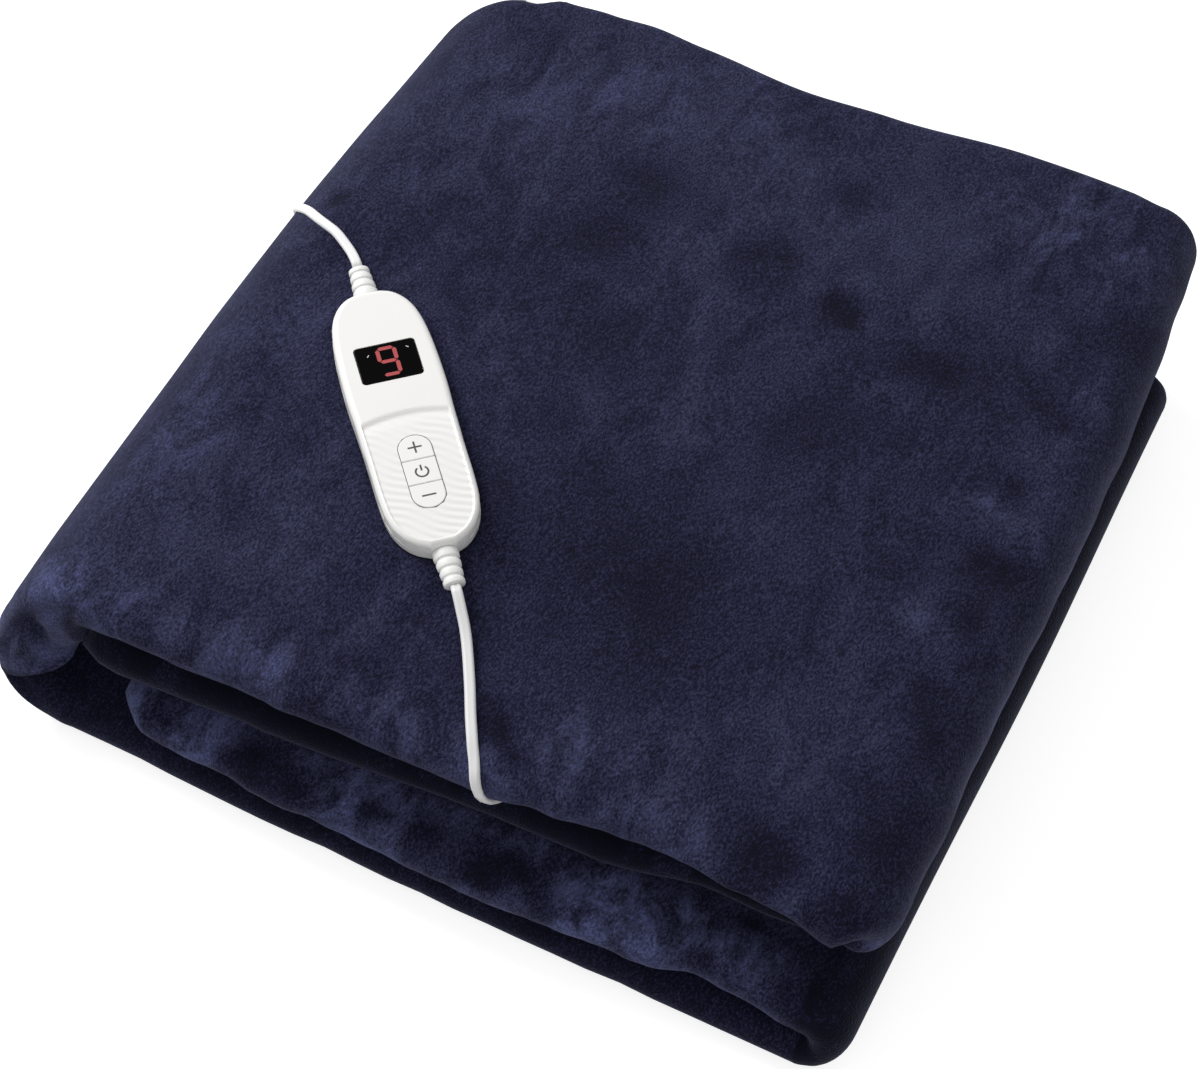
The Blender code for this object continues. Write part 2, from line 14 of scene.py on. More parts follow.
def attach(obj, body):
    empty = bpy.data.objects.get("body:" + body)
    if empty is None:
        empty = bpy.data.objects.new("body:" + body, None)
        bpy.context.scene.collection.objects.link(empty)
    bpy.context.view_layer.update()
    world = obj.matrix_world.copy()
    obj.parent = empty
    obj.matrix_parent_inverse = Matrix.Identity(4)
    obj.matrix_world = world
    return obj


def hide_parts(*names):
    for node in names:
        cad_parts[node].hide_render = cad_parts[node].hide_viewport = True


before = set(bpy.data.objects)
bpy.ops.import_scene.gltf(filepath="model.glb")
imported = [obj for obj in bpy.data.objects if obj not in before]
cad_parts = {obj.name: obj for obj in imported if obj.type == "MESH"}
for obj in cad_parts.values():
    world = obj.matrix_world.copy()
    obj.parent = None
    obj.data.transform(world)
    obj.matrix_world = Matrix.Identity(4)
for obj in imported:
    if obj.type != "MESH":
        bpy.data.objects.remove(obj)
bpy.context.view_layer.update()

BODY = "pack"


def metres(*rows):
    """Rows of a table that is written in millimetres, in metres."""
    return tuple(tuple(round(value / 1000, 6) for value in row) for row in rows)


# ---- camera, in the photograph's view ----
CAMERA_AZIMUTH = math.radians(26.4)
CAMERA_ELEVATION = math.radians(54.0)
CAMERA_DISTANCE = 1.515
CAMERA_TARGET = Vector((-0.0062, -0.0130, 0.0))
LENS_MM = 90.0

# ---- the cloth: sizes that the part's source also has ----
CLOTH_THICK = 0.006
LAYER_GAP = 0.0012
STRIP_DEPTH = 0.437
STRIP_THICK = 3 * CLOTH_THICK + 2 * LAYER_GAP
PASS_GAP = 0.0015
INNER_FLAP_SETBACK = 0.030
OUTER_FLAP_SETBACK = 0.028

# Steps across the cut width: more where the cloth shows
INNER_FLAP_STEPS = 8
BACK_BEND_STEPS = 10
FACE_STEPS = 92
FRONT_BEND_STEPS = 16
OUTER_FLAP_STEPS = 14

FLOOR_LEVEL = 0.0
LOWER_TIER_LEVEL = 2 * STRIP_THICK + PASS_GAP
UPPER_TIER_LEVEL = 0.0470
TOP_LEVEL = 0.0946

# name, start x, end x, outer face level at the start, at the end, inward normal z, back taper, steps
PASSES = (
    ("under_top", -0.1782, 0.2033, UPPER_TIER_LEVEL, UPPER_TIER_LEVEL, 1, 0.9, 34),
    ("top", 0.2033, -0.1757, TOP_LEVEL, TOP_LEVEL, -1, 1.0, 104),
    ("floor", -0.1757, 0.2013, FLOOR_LEVEL, FLOOR_LEVEL, 1, 0.3, 22),
    ("second", 0.2013, -0.1562, LOWER_TIER_LEVEL + 0.002, LOWER_TIER_LEVEL, -1, -0.35, 88),
)
FOLDS = (("top_fold", 26), ("wrap", 50), ("low_fold", 26))

FRONT_EDGE = {
    "under_top": metres((-178.2, -217), (-162.2, -223.5), (-87.2, -220.5), (47.8, -213.5),
                        (102.8, -212.5), (142.8, -212), (202.8, -212)),
    "top": metres((-173.2, -216.5), (-87.2, -215.5), (32.8, -215), (62.8, -211), (102.8, -207),
                  (132.8, -208.5), (157.8, -211), (202.8, -212)),
    "floor": metres((-173.2, -233), (-67.2, -237), (47.8, -239), (202.8, -240)),
    "second": metres((-156.2, -226), (-135.2, -232), (-50.2, -237), (44.8, -240), (128.8, -236),
                     (150.8, -231), (202.8, -234)),
}
BACK_EDGE = {
    "under_top": metres((-178.2, 211), (-138.2, 225), (2.8, 230), (202.8, 232)),
    "top": metres((-175.2, 223.2), (-157.2, 232.2), (-130.2, 235), (-102.2, 237.8), (-72.2, 236.2),
                  (-7.2, 232.5), (42.8, 235), (122.8, 240.5), (182.8, 240), (202.8, 238)),
    "floor": metres((-173.2, 205), (2.8, 193), (142.8, 187), (202.8, 178)),
    "second": metres((-156.2, 200), (2.8, 191), (142.8, 185), (202.8, 177)),
}
BACK_TAPER = 0.070
TAPER_START = 0.45
TAPER_POWER = 1.6
LEFT_FOOT_BULGE = 0.0065
LEFT_FOOT_HEIGHT = 0.060
LEFT_FOOT_X = (-0.147, -0.207)
LEFT_FOOT_Y = (0.0, -0.12)
FRONT_BEND_REACH = 1.9

TOP_HEIGHT_X, = metres((-177, 3, 193))
TOP_HEIGHT = metres(
    (-218, 88, 88, 86.5), (-163, 91.5, 91, 89), (-13, 94.5, 93.5, 91), (137, 98, 95.5, 95),
    (237, 100, 95, 98),
)
FLAT_CUT = (1.30, 1.70)       # width and length of the cloth before it was folded

# ---- patches, painted shade and painted highlights: x, y, z and radius in mm, and how much lighter or darker ----
PATCH_AND_PAINTED_LIGHT_MARKS = tuple((*metres(place)[0], strength) for *place, strength in (
    # on the top: lighter and darker patches, and painted shade in a short crease
    (-58, 91, 93, 15, -0.9), (-50, 133, 93, 20, -0.6), (22, 109, 93, 20, -0.7), (25, 120, 93, 14, -0.7),
    (46, 172, 93, 16, -0.6), (-24, 36, 93, 24, -0.5), (71, 99, 93, 12, -0.9), (62, 103, 93, 7, -0.8),
    (79, 94, 93, 7, -0.8), (89, 31, 93, 30, -0.35), (49, -103, 93, 60, -0.75), (-190, 54, 92, 6, -1.0),
    (-183, 55.5, 93, 6, -1.0), (-179, -98, 90, 30, 0.5), (-120, 170, 93, 40, 0.4),
    (157, 200, 93, 45, 1.0), (75, -186, 91, 32, 0.6), (-80, -190, 91, 40, 0.3),
    # painted shade in a hollow beside the lead and at the front lip
    (27, -184, 90, 8, -0.9), (34, -192, 89, 9, -1.0), (46, -199, 88, 9, -0.9), (59, -205, 85, 9, -0.7),
    (-175, -220, 75, 7, -1.4), (-178, -222, 65, 7, -1.4), (162, -196, 88, 20, -0.9),
    # painted shade in a band where the top turns down to the right fold, with lighter streaks across it
    (202, 152, 90, 22, -0.5), (185, 40, 90, 12, -0.9), (178, 93, 91, 10, -0.6), (193, 85, 91, 10, -0.8),
    (114, 85, 92, 14, -0.5), (133, 89, 92, 12, -0.5), (190, -6, 91, 14, -1.0), (203, -12, 89, 14, -0.9),
    (196.5, -40, 90, 13, -0.9), (208, -62, 88, 10, -0.9), (197, -88, 88, 15, -0.8),
    (206, -110, 87, 13, -0.8), (198, -140, 86, 16, -0.8), (207, -168, 84, 16, -0.8),
    (204, -200, 82, 14, -0.8), (158, 32, 92, 6, 0.3), (166, 29, 92, 6, 0.5), (177, 26.5, 92, 6, 0.7),
    (188, 22.5, 91, 6, 0.7), (198, 18.5, 90, 6, 0.5), (187.5, 109, 91, 6, 0.5), (199.5, 105, 90, 6, 0.6),
    (211, 98.5, 88, 6, 0.5), (168, -48, 92, 6, 0.5), (176, -50.5, 91, 6, 0.5), (184.5, -52.5, 90, 6, 0.5),
    (187, -117, 90, 7, 0.5),
    # painted shade under the lip's right corner
    (150, -203.5, 44, 7, -0.6), (163, -201.5, 44, 8, -0.9), (176, -202, 44, 8, -0.9),
    (188, -204, 44, 8, -0.9), (198, -204, 44, 8, -0.8),
    # on the roll that shows under the lip
    (-129, -224, 38, 6, -0.7), (-83, -226.5, 38, 14, -1.0), (-58.5, -229, 38, 12, -0.7),
    (-16, -224, 38, 7, -0.7), (12, -228, 38, 15, -0.8), (40, -232, 38, 12, -1.0),
    (56, -223, 38, 13, -0.8), (72, -232, 38, 9, -0.7), (135, -225, 38, 7, -0.8),
    (150.5, -229, 38, 7, -0.8), (195, -228, 36, 18, -0.6), (144, -214, 40, 10, -0.25),
    # painted highlights on creases low at the right
    (186, -235.5, 20, 5, 1.6), (205.3, -233, 20, 5, 1.6),
))
MARK_HOLLOW = 0.0007          # a dark mark is also a slight hollow
MARK_STRAY = 0.006            # how far a mark's edge strays, and how often a metre
MARK_STRAY_SCALE = 75
MARK_STRAY_SHIFTS = (0.0, 31.7, 67.3)
DARKEST_MARK = -2.4
WRAP_CREASE = 0.64            # how far round the left wrap its crease lies

# ---- the handset ----
HANDSET_PLACE = (-0.0867, -0.0600)
HANDSET_TURN = math.radians(42.0)
SEAT_LEVEL = 0.0945
SEAT_HALF_LENGTH = 0.062
SEAT_HALF_WIDTH = 0.030
SEAT_BLEND = 0.045
PILE_SWELL = 0.0030           # the handset sinks into the plush, which stands up this much round it
TOUCH_GAP = 0.0003
WAVE_SHARE = 0.012            # of the height
RIGHT_SAG = 0.022

HANDSET_LENGTH = 0.158
HANDSET_HEIGHT = 0.0125
BASE_HEIGHT = 0.0052
BASE_ROUND = 0.0024
HANDSET_OUTLINE = metres(
    (79, 6.2), (77.2, 11.2), (73.5, 15.6), (68, 19.2), (60.5, 21.8), (49, 23.6), (33, 24.5), (15, 24.7),
    (-2, 24.1), (-22, 23.6), (-42, 23.5), (-55, 22.8), (-64, 20.8), (-71, 17), (-75.8, 12.2), (-79, 6.2),
)
COVER_ROUND = 0.0034          # the upper shell's edge is well rounded
COVER_DROP = 0.0030
WINDOW_SIZE = (0.0300, 0.0228)
WINDOW_CENTRE_Y = 0.0325
WINDOW_CORNER = 0.0020
WINDOW_THICK = 0.0012
PANEL_MARGIN = 0.0028
PANEL_DEPTH = 0.0008
PANEL_TOP_MIDDLE = 0.0004
PANEL_TOP_SIDE = -0.0028
LEDGE_RUN = 0.0020            # the step down to the lower panel is a soft slope this long
LEDGE_GROOVE = 0.0006         # the panel is deeper just under the ledge
LEDGE_GROOVE_WIDTH = 0.0080
RIDGE_PITCH = 0.0043
RIDGE_DEPTH = 0.00042
RIDGE_TURN = math.radians(-34.0)

KEYS_CENTRE_Y = -0.0357
KEYS_LENGTH = 0.0435
KEYS_WIDTH = 0.0160
KEY_GAP = 0.0004
KEY_THICK = 0.0026
KEY_PROUD = 0.0003
KEY_TRAVEL_ROOM = 0.0012
# a grey ring of painted shade in the keys' gap: its play, drop under the key tops and thickness
GAP_SHADE_PLAY = 0.00004
GAP_SHADE_DROP = 0.0003
GAP_SHADE_THICK = 0.0006
PRINT_THICK = 0.00006
PRINT_LINE = 0.00090          # line width of the signs on the keys

# ---- leads: flat twin flex ----
FLEX_WIDTH = 0.0052
FLEX_THICK = 0.0032
RELIEF_LENGTH = 0.020
RELIEF_PROFILE = metres(
    (0, 6.4), (4.6, 6.2), (5.2, 5.2), (6.2, 5.2), (6.8, 6), (9.8, 5.8), (10.4, 4.9), (11.4, 4.8),
    (12, 5.6), (14.8, 5.4), (15.4, 4.6), (16.4, 4.5), (17, 5.3), (19.6, 5.1), (20, 3),
)
RELIEF_FLATTEN = 0.72
RELIEF_LEVEL = 0.0053         # height of its axis over the handset's underside

MAINS_ROUTE = metres(
    (-153.5, 14.2, 101), (-155.5, 16.4, 100.9), (-160.2, 21.1, 100), (-166.2, 25.9, 99.1),
    (-175.4, 32, 98.5), (-181.9, 35.1, 97.5), (-188.8, 38.1, 96.3), (-195.7, 42, 93.5),
    (-202.8, 46.5, 89.3), (-211.9, 52, 81.6), (-218.2, 58, 71.7), (-222.5, 64.5, 60.2),
    (-223.9, 71.2, 46.9), (-222.2, 77.5, 34.4), (-220.5, 83.5, 24), (-219.2, 90, 14.5), (-218.4, 99, 7.8),
    (-218, 112, 4.2), (-217.8, 132, 3), (-217.8, 165, 3), (-217.8, 200, 3), (-217.7, 240, 3),
    (-217.2, 275, 3), (-216, 302, 3.1), (-213.8, 326.9, 3.2),
)
BLANKET_ROUTE = metres(
    (-19.9, -134.2, 101), (-17.8, -136.6, 100.8), (-13.7, -141.5, 99.2), (-4.7, -153, 96.1),
    (7.3, -172.5, 94), (16.3, -188.5, 92.8), (22.3, -198.5, 91.9), (27.3, -206.8, 89.5),
    (31.3, -213.5, 85.3), (34.6, -216.2, 78.5), (37.8, -213.7, 72.2), (41.8, -205.5, 67.6),
    (47.3, -195, 66.5), (54.3, -181.5, 66.8), (61.8, -168, 67.1), (69.8, -154, 67.3),
)
ROUTE_STEP = 0.004
LEFT_WRAP_CENTRE = (-0.1757, 0.0473)

COIL_CENTRE = (-0.2484, 0.3490)
COIL_MEAN_RADIUS = 0.0310
COIL_HALF_WIDTH = 0.0076
COIL_TURN_PITCH = 0.0040      # the flex stands on its edge in the coil, turn against turn
COIL_LAYER_PITCH = 0.0053
COIL_POINTS_A_TURN = 40

PLUG_ANGLE = math.radians(150.0)
PLUG_BODY_LENGTH = 0.036
PLUG_BODY_WIDTH = 0.0353
PLUG_BODY_THICK = 0.0137
PLUG_ROUND = 0.0034
PLUG_RELIEF_LENGTH = 0.016
PLUG_RELIEF_RADII = (0.0036, 0.0056)
PIN_RADIUS = 0.0020
PIN_LENGTH = 0.019
PIN_SPACING = 0.0186


# ---- helpers ----
def ease(share):
    share = min(max(share, 0.0), 1.0)
    return share * share * (3 - 2 * share)


def read_rows(rows, x, column=1):
    """Value at x between the rows of a table whose first column rises."""
    if x <= rows[0][0]:
        return rows[0][column]
    for lower, upper in zip(rows, rows[1:]):
        if x <= upper[0]:
            share = (x - lower[0]) / (upper[0] - lower[0])
            return lower[column] + (upper[column] - lower[column]) * ease(share)
    return rows[-1][column]


def linear(hex_colour):
    """sRGB hex, such as "8a8f9c", as the linear colour that a shader takes."""
    channels = [int(hex_colour[i:i + 2], 16) / 255 for i in (0, 2, 4)]
    return tuple(c / 12.92 if c <= 0.04045 else ((c + 0.055) / 1.055) ** 2.4 for c in channels) + (1.0,)


def add_node(tree, kind, settings=None, inputs=None, links=None):
    """Add a node, with its settings, its input values and the sockets that feed it."""
    node = tree.nodes.new(kind)
    for name, value in (settings or {}).items():
        setattr(node, name, value)
    for name, value in (inputs or {}).items():
        node.inputs[name].default_value = value
    for name, socket in (links or {}).items():
        tree.links.new(socket, node.inputs[name])
    return node


def finish_piece(name, mesh_builder, material, replaced=(), body=BODY, place=None, face_out=True,
                 sharp=35):
    """Make one piece from a bmesh at its place, hang it on its body and hide the parts that it stands for.
    """
    if place is not None:
        bmesh.ops.transform(mesh_builder, matrix=place, verts=mesh_builder.verts[:])
    if face_out:
        bmesh.ops.recalc_face_normals(mesh_builder, faces=mesh_builder.faces)
    mesh = bpy.data.meshes.new(name)
    mesh_builder.to_mesh(mesh)
    mesh_builder.free()
    mesh.materials.append(material)
    mesh.shade_smooth()
    if sharp:
        mesh.set_sharp_from_angle(angle=math.radians(sharp))
    piece = bpy.data.objects.new(name, mesh)
    bpy.context.scene.collection.objects.link(piece)
    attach(piece, body)
    for node in replaced:
        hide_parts(node)
    return piece


def smooth_route(points, step):
    """Even points along a smooth curve through the route's points."""
    points = [Vector(p) for p in points]
    padded = [2 * points[0] - points[1]] + points + [2 * points[-1] - points[-2]]
    fine = []
    for a, b, c, d in zip(padded, padded[1:], padded[2:], padded[3:]):
        for i in range(12):
            t = i / 12
            fine.append(0.5 * (2 * b + (c - a) * t + (2 * a - 5 * b + 4 * c - d) * t ** 2
                               + (3 * b - a - 3 * c + d) * t ** 3))
    fine.append(points[-1])
    length = route_length(fine)
    count = max(2, round(length / step))
    result = [fine[0]]
    walked = 0.0
    for p, q in zip(fine, fine[1:]):
        piece = (q - p).length
        while len(result) < count and walked + piece >= length * len(result) / count:
            share = (length * len(result) / count - walked) / piece
            result.append(p.lerp(q, share))
        walked += piece
    result.append(fine[-1])
    return result


def route_length(points):
    return sum((b - a).length for a, b in zip(points, points[1:]))


def new_verts(extruded):
    """The vertices that an extrusion has made."""
    return [v for v in extruded["geom"] if isinstance(v, bmesh.types.BMVert)]


# ---- camera ----
def add_camera():
    """A long lens from above the pack's front right, as the photograph was taken."""
    back = Vector((math.sin(CAMERA_AZIMUTH) * math.cos(CAMERA_ELEVATION),
                   -math.cos(CAMERA_AZIMUTH) * math.cos(CAMERA_ELEVATION), math.sin(CAMERA_ELEVATION)))
    camera = bpy.data.objects.new("camera", bpy.data.cameras.new("camera"))
    camera.data.lens = LENS_MM
    camera.data.sensor_width = 36.0
    camera.location = CAMERA_TARGET + back * CAMERA_DISTANCE
    camera.rotation_mode = "QUATERNION"
    camera.rotation_quaternion = (-back).to_track_quat("-Z", "Y")
    bpy.context.scene.collection.objects.link(camera)
    bpy.context.scene.camera = camera


# ---- materials ----
def object_noise(tree, scale, detail=2.0, roughness=0.5, stretch=(1, 1, 1), turn=0.0, distortion=0.0):
    """Noise in the piece's own space, stretched and turned about Z."""
    place = add_node(tree, "ShaderNodeTexCoord")
    mapping = add_node(tree, "ShaderNodeMapping", inputs={"Scale": stretch, "Rotation": (0, 0, turn)},
                       links={"Vector": place.outputs["Object"]})
    values = {"Scale": scale, "Detail": detail, "Distortion": distortion, "Roughness": roughness}
    pattern = add_node(tree, "ShaderNodeTexNoise", {}, values, {"Vector": mapping.outputs["Vector"]})
    return pattern.outputs["Fac"]


def new_material(name, gloss=None, relief=None, **shader_values):
    """A material with its shader's values. Its roughness may drift between two values with a noise, and a
    noise may stand up as a fine relief of some strength and depth in metres."""
    material = bpy.data.materials.new(name)
    material.use_nodes = True
    tree = material.node_tree
    shader = tree.nodes["Principled BSDF"]
    for socket, value in shader_values.items():
        shader.inputs[socket.replace("_", " ")].default_value = value
    if gloss:
        pattern, smoothest, roughest = gloss
        drift = add_node(tree, "ShaderNodeMapRange", inputs={"To Min": smoothest, "To Max": roughest},
                         links={"Value": object_noise(tree, **pattern)})
        tree.links.new(drift.outputs["Result"], shader.inputs["Roughness"])
    if relief:
        pattern, strength, depth = relief
        bump = add_node(tree, "ShaderNodeBump", inputs={"Strength": strength, "Distance": depth},
                        links={"Height": object_noise(tree, **pattern)})
        tree.links.new(bump.outputs["Normal"], shader.inputs["Normal"])
    return material, tree, shader


def plush_material():
    """Polyester plush, cut and brushed: a dark dyed pile that takes the light in, with a faint bloom where
    it is seen edge on. Its tufts, 1 to 2 mm wide, show as a grain, and its pile lies in patches. The marks
    that each point carries lighten or darken it further, and many of them are painted shade and painted
    highlights."""
    material, tree, shader = new_material(
        "brushed_polyester_plush", Roughness=0.95, IOR=1.5, Specular_IOR_Level=0.08, Sheen_Weight=0.26,
        Sheen_Roughness=0.45, Sheen_Tint=linear("a2a8cc"))
    broad = object_noise(tree, 9.0, detail=3.0, roughness=0.55, distortion=0.4)
    brushed = object_noise(tree, 50.0, detail=5.0, roughness=0.68, stretch=(1.0, 0.5, 1.0), turn=0.9,
                           distortion=0.8)
    tufts = object_noise(tree, 950.0, detail=2.5, roughness=0.7, stretch=(1.0, 0.6, 1.0), turn=-0.5,
                         distortion=0.2)
    # Each mark is ragged, as far as the brushed pattern lets it through
    ragged = add_node(tree, "ShaderNodeMapRange", links={"Value": brushed},
                      inputs={"From Min": 0.38, "From Max": 0.58, "To Min": 0.10, "To Max": 1.0})
    # each point's marks: patches, painted shade and painted highlights
    mark = add_node(tree, "ShaderNodeAttribute", {"attribute_name": "patches_and_painted_light"})
    marked = add_node(tree, "ShaderNodeMath", {"operation": "MULTIPLY"},
                      links={0: mark.outputs["Fac"], 1: ragged.outputs["Result"]})
    crisp = add_node(tree, "ShaderNodeMapRange", {}, {"From Min": 0.34, "From Max": 0.66}, {"Value": tufts})
    # Share of the way from the dark root colour to the light tip colour, each pattern with its weight
    level = None
    for pattern, weight in ((broad, 0.289), (marked.outputs[0], 0.2125), (brushed, 0.459),
                            (crisp.outputs["Result"], 0.34)):
        below = {2: level} if level else {}
        level = add_node(tree, "ShaderNodeMath", {"operation": "MULTIPLY_ADD"}, {1: weight, 2: 0.0},
                         {0: pattern, **below}).outputs[0]
    ramp = add_node(tree, "ShaderNodeValToRGB", links={"Fac": level})
    stops = ((0.289, "0c0d1a"), (0.429, "141529"), (0.548, "23243c"), (0.68, "33354e"), (0.85, "43466a"),
             (1.0, "555a82"))
    while len(ramp.color_ramp.elements) < len(stops):
        ramp.color_ramp.elements.new(0.5)
    for element, (place, colour) in zip(ramp.color_ramp.elements, stops):
        element.position = place
        element.color = linear(colour)
    tree.links.new(ramp.outputs["Color"], shader.inputs["Base Color"])
    bump = add_node(tree, "ShaderNodeBump", inputs={"Strength": 0.85, "Distance": 0.0009},
                    links={"Height": tufts})
    tree.links.new(bump.outputs["Normal"], shader.inputs["Normal"])
    return material


def moulded_material(name, colour, roughness, grain_depth, coat=0.0):
    """Injection moulded plastic: an even colour with the tool's very fine grain."""
    return new_material(name, gloss=({"scale": 60.0}, roughness - 0.05, roughness + 0.05),
                        relief=({"scale": 1400.0, "detail": 1.0}, 0.25, grain_depth),
                        Base_Color=linear(colour), IOR=1.5, Coat_Weight=coat, Coat_Roughness=0.12)[0]


def window_material():
    """Smoked acrylic, polished: nearly black, with a sharp reflection."""
    return new_material("smoked_acrylic", gloss=({"scale": 90.0}, 0.03, 0.06), Base_Color=linear("050505"),
                        IOR=1.49, Specular_IOR_Level=0.06)[0]


def lit_material():
    """Red light-emitting segments behind the smoked window."""
    return new_material("red_led_segment", gloss=({"scale": 700.0, "detail": 1.0}, 0.42, 0.62),
                        Base_Color=linear("8e2b2e"), Emission_Color=linear("c8484c"),
                        Emission_Strength=0.25)[0]


def print_material():
    """Grey pad-printed ink, matt."""
    return new_material("grey_pad_print", relief=({"scale": 900.0, "detail": 1.0}, 0.2, 0.00002),
                        Base_Color=linear("4a4a4e"), Roughness=0.6)[0]


def nickel_material():
    """Nickel-plated brass pins, drawn and tumbled: bright, with faint lines round them."""
    return new_material("nickel_plated_brass", gloss=({"scale": 300.0, "stretch": (1, 1, 6)}, 0.16, 0.30),
                        Base_Color=linear("c9c6bf"), Metallic=1.0)[0]


# ---- leads ----
def flex_section():
    """Cross-section of flat twin flex: two cores side by side under one skin, with a shallow groove."""
    half_width, half_thick = FLEX_WIDTH / 2, FLEX_THICK / 2
    core = half_width - half_thick
    groove = 0.00028
    points = []
    for side, start in ((1, -90), (-1, 90)):
        for i in range(7):
            angle = math.radians(start + 30 * i)
            points.append((side * core + half_thick * math.cos(angle), half_thick * math.sin(angle)))
        points.append((0.0, side * (half_thick - groove)))
    return points


def sweep_flex(points, flats):
    """Closed flex along the points. Each flat is the direction that the wide side faces there."""
    section = flex_section()
    flex = bmesh.new()
    rings = []
    for i, (point, flat) in enumerate(zip(points, flats)):
        along = (points[min(i + 1, len(points) - 1)] - points[max(i - 1, 0)]).normalized()
        across = along.cross(flat).normalized()
        up = across.cross(along)
        rings.append([flex.verts.new(point + across * x + up * z) for x, z in section])
    for ring, following in zip(rings, rings[1:]):
        edges = []
        for loop in (ring, following):
            for a, b in zip(loop, loop[1:] + loop[:1]):
                edges.append(flex.edges.get((a, b)) or flex.edges.new((a, b)))
        bmesh.ops.bridge_loops(flex, edges=edges)
    for loop in (rings[0], rings[-1]):
        flex.faces.new(loop)
    return flex


def coil_points():
    """Seven turns and a half, from outside in on the lower layer and out again on the upper one."""
    turns = 7
    outer = COIL_MEAN_RADIUS + COIL_HALF_WIDTH - FLEX_THICK / 2
    low = TOUCH_GAP + FLEX_WIDTH / 2
    start = math.radians(-20.0)
    end = PLUG_ANGLE + 2 * math.pi * turns
    total = round((end - start) / (2 * math.pi) * COIL_POINTS_A_TURN)
    inner_steps = 3.0             # turns wound inwards before the flex climbs to the upper layer
    climb = 0.6                   # of a turn
    points = []
    for i in range(total + 1):
        angle = start + (end - start) * i / total
        turned = (angle - start) / (2 * math.pi)
        steps_in = min(turned, inner_steps)
        if turned > inner_steps + climb:
            steps_in = max(inner_steps - (turned - inner_steps - climb), 0.0)
        radius = outer - COIL_TURN_PITCH * steps_in
        lift = COIL_LAYER_PITCH * ease((turned - inner_steps - 0.1) / climb)
        points.append(Vector((COIL_CENTRE[0] + radius * math.cos(angle),
                              COIL_CENTRE[1] + radius * math.sin(angle), low + lift)))
    return points


def plug_place():
    """Where the plug's lead end is, and the direction that the plug points."""
    out = Vector((math.cos(PLUG_ANGLE), math.sin(PLUG_ANGLE), 0.0))
    heading = Vector((-out.y, out.x, 0.0))
    beside = COIL_MEAN_RADIUS + COIL_HALF_WIDTH + TOUCH_GAP + PLUG_RELIEF_RADII[0]
    start = Vector((*COIL_CENTRE, 0.0)) + out * beside + heading * 0.003
    turn = math.atan2(heading.y, heading.x) - math.pi / 2
    return start, heading, Matrix.Translation(start) @ Matrix.Rotation(turn, 4, "Z")


def fold_normal(point):
    """Direction that the left wrap faces at a point on it: up on the top, outward on the fold."""
    out = Vector((min(point.x - LEFT_WRAP_CENTRE[0], 0.0), 0.0, point.z - LEFT_WRAP_CENTRE[1]))
    return out.normalized() if out.length > 0.01 else Vector((0, 0, 1))


def press_on(points, flats, on_cloth, sink=0.0):
    """The flat flex lies lower than a round lead of its width would, so it is let down onto the plush. Where
    it is drawn tight round the fold it sinks into the pile."""
    walked = 0.0
    result = []
    for i, (point, flat) in enumerate(zip(points, flats)):
        walked += (point - points[max(i - 1, 0)]).length
        drop = (FLEX_WIDTH - FLEX_THICK) * 0.55 + sink * ease((walked - 0.03) / 0.02)
        result.append(point - flat * drop * on_cloth(point) * ease(walked / 0.03))
    return result


def add_mains_lead(material):
    """Mains lead: over the left fold, along the pack's foot and into the coil, to the plug."""
    start, heading, place = plug_place()
    axis_height = PLUG_BODY_THICK / 2 + TOUCH_GAP
    free = [Vector(p) for p in MAINS_ROUTE[:-1]]
    coil = coil_points()
    into_plug = start + Vector((0, 0, axis_height))
    route = smooth_route(free + coil[:2], ROUTE_STEP)[:-1]
    tail = smooth_route([coil[-6], coil[-3], into_plug - heading * 0.006, into_plug], ROUTE_STEP)
    points = route + coil[1:-6] + tail
    flats = []
    for i, p in enumerate(points):
        flat = fold_normal(p)
        inward = Vector((COIL_CENTRE[0] - p.x, COIL_CENTRE[1] - p.y, 0.0)).normalized()
        if p.z < 0.02 or i >= len(route):
            flat = flat.lerp(Vector((-1, 0, 0)), ease((p.y - 0.085) / 0.03))
            flat = flat.lerp(inward, ease((p.y - 0.27) / 0.04))
        if len(route) <= i < len(points) - len(tail):
            flat = inward
        if i >= len(points) - len(tail):
            share = (i - (len(points) - len(tail))) / (len(tail) - 1)
            flat = inward.lerp(Vector((0, 0, 1)), ease(share))
        flats.append(flat.normalized())
    points = press_on(points, flats, lambda p: ease((p.z - 0.03) / 0.02), sink=0.0012)
    lead = finish_piece("mains_lead", sweep_flex(points, flats), material,
                        replaced=("lead_mains", "coil_mains"), sharp=0)
    add_plug(place, axis_height)


def add_blanket_lead(material):
    """Blanket lead: from the handset over the front lip and in between the top two passes."""
    points = smooth_route(BLANKET_ROUTE, ROUTE_STEP)
    flats = []
    lip = Vector((0.033, -0.202, 0.0785))
    for p in points:
        out = Vector((0.0, p.y - lip.y, p.z - lip.z))
        flat = Vector((0, 0, 1)).lerp(out.normalized(), ease((-0.196 - p.y) / 0.008))
        if p.z < lip.z and p.y > -0.212:
            flat = out.normalized().lerp(Vector((0, 0, -1)), ease((p.y + 0.210) / 0.010))
        flats.append(flat.normalized())
    points = press_on(points, flats, lambda p: ease((p.z - 0.084) / 0.006))
    lead = finish_piece("blanket_lead", sweep_flex(points, flats), material,
                        replaced=("lead_blanket",), sharp=0)


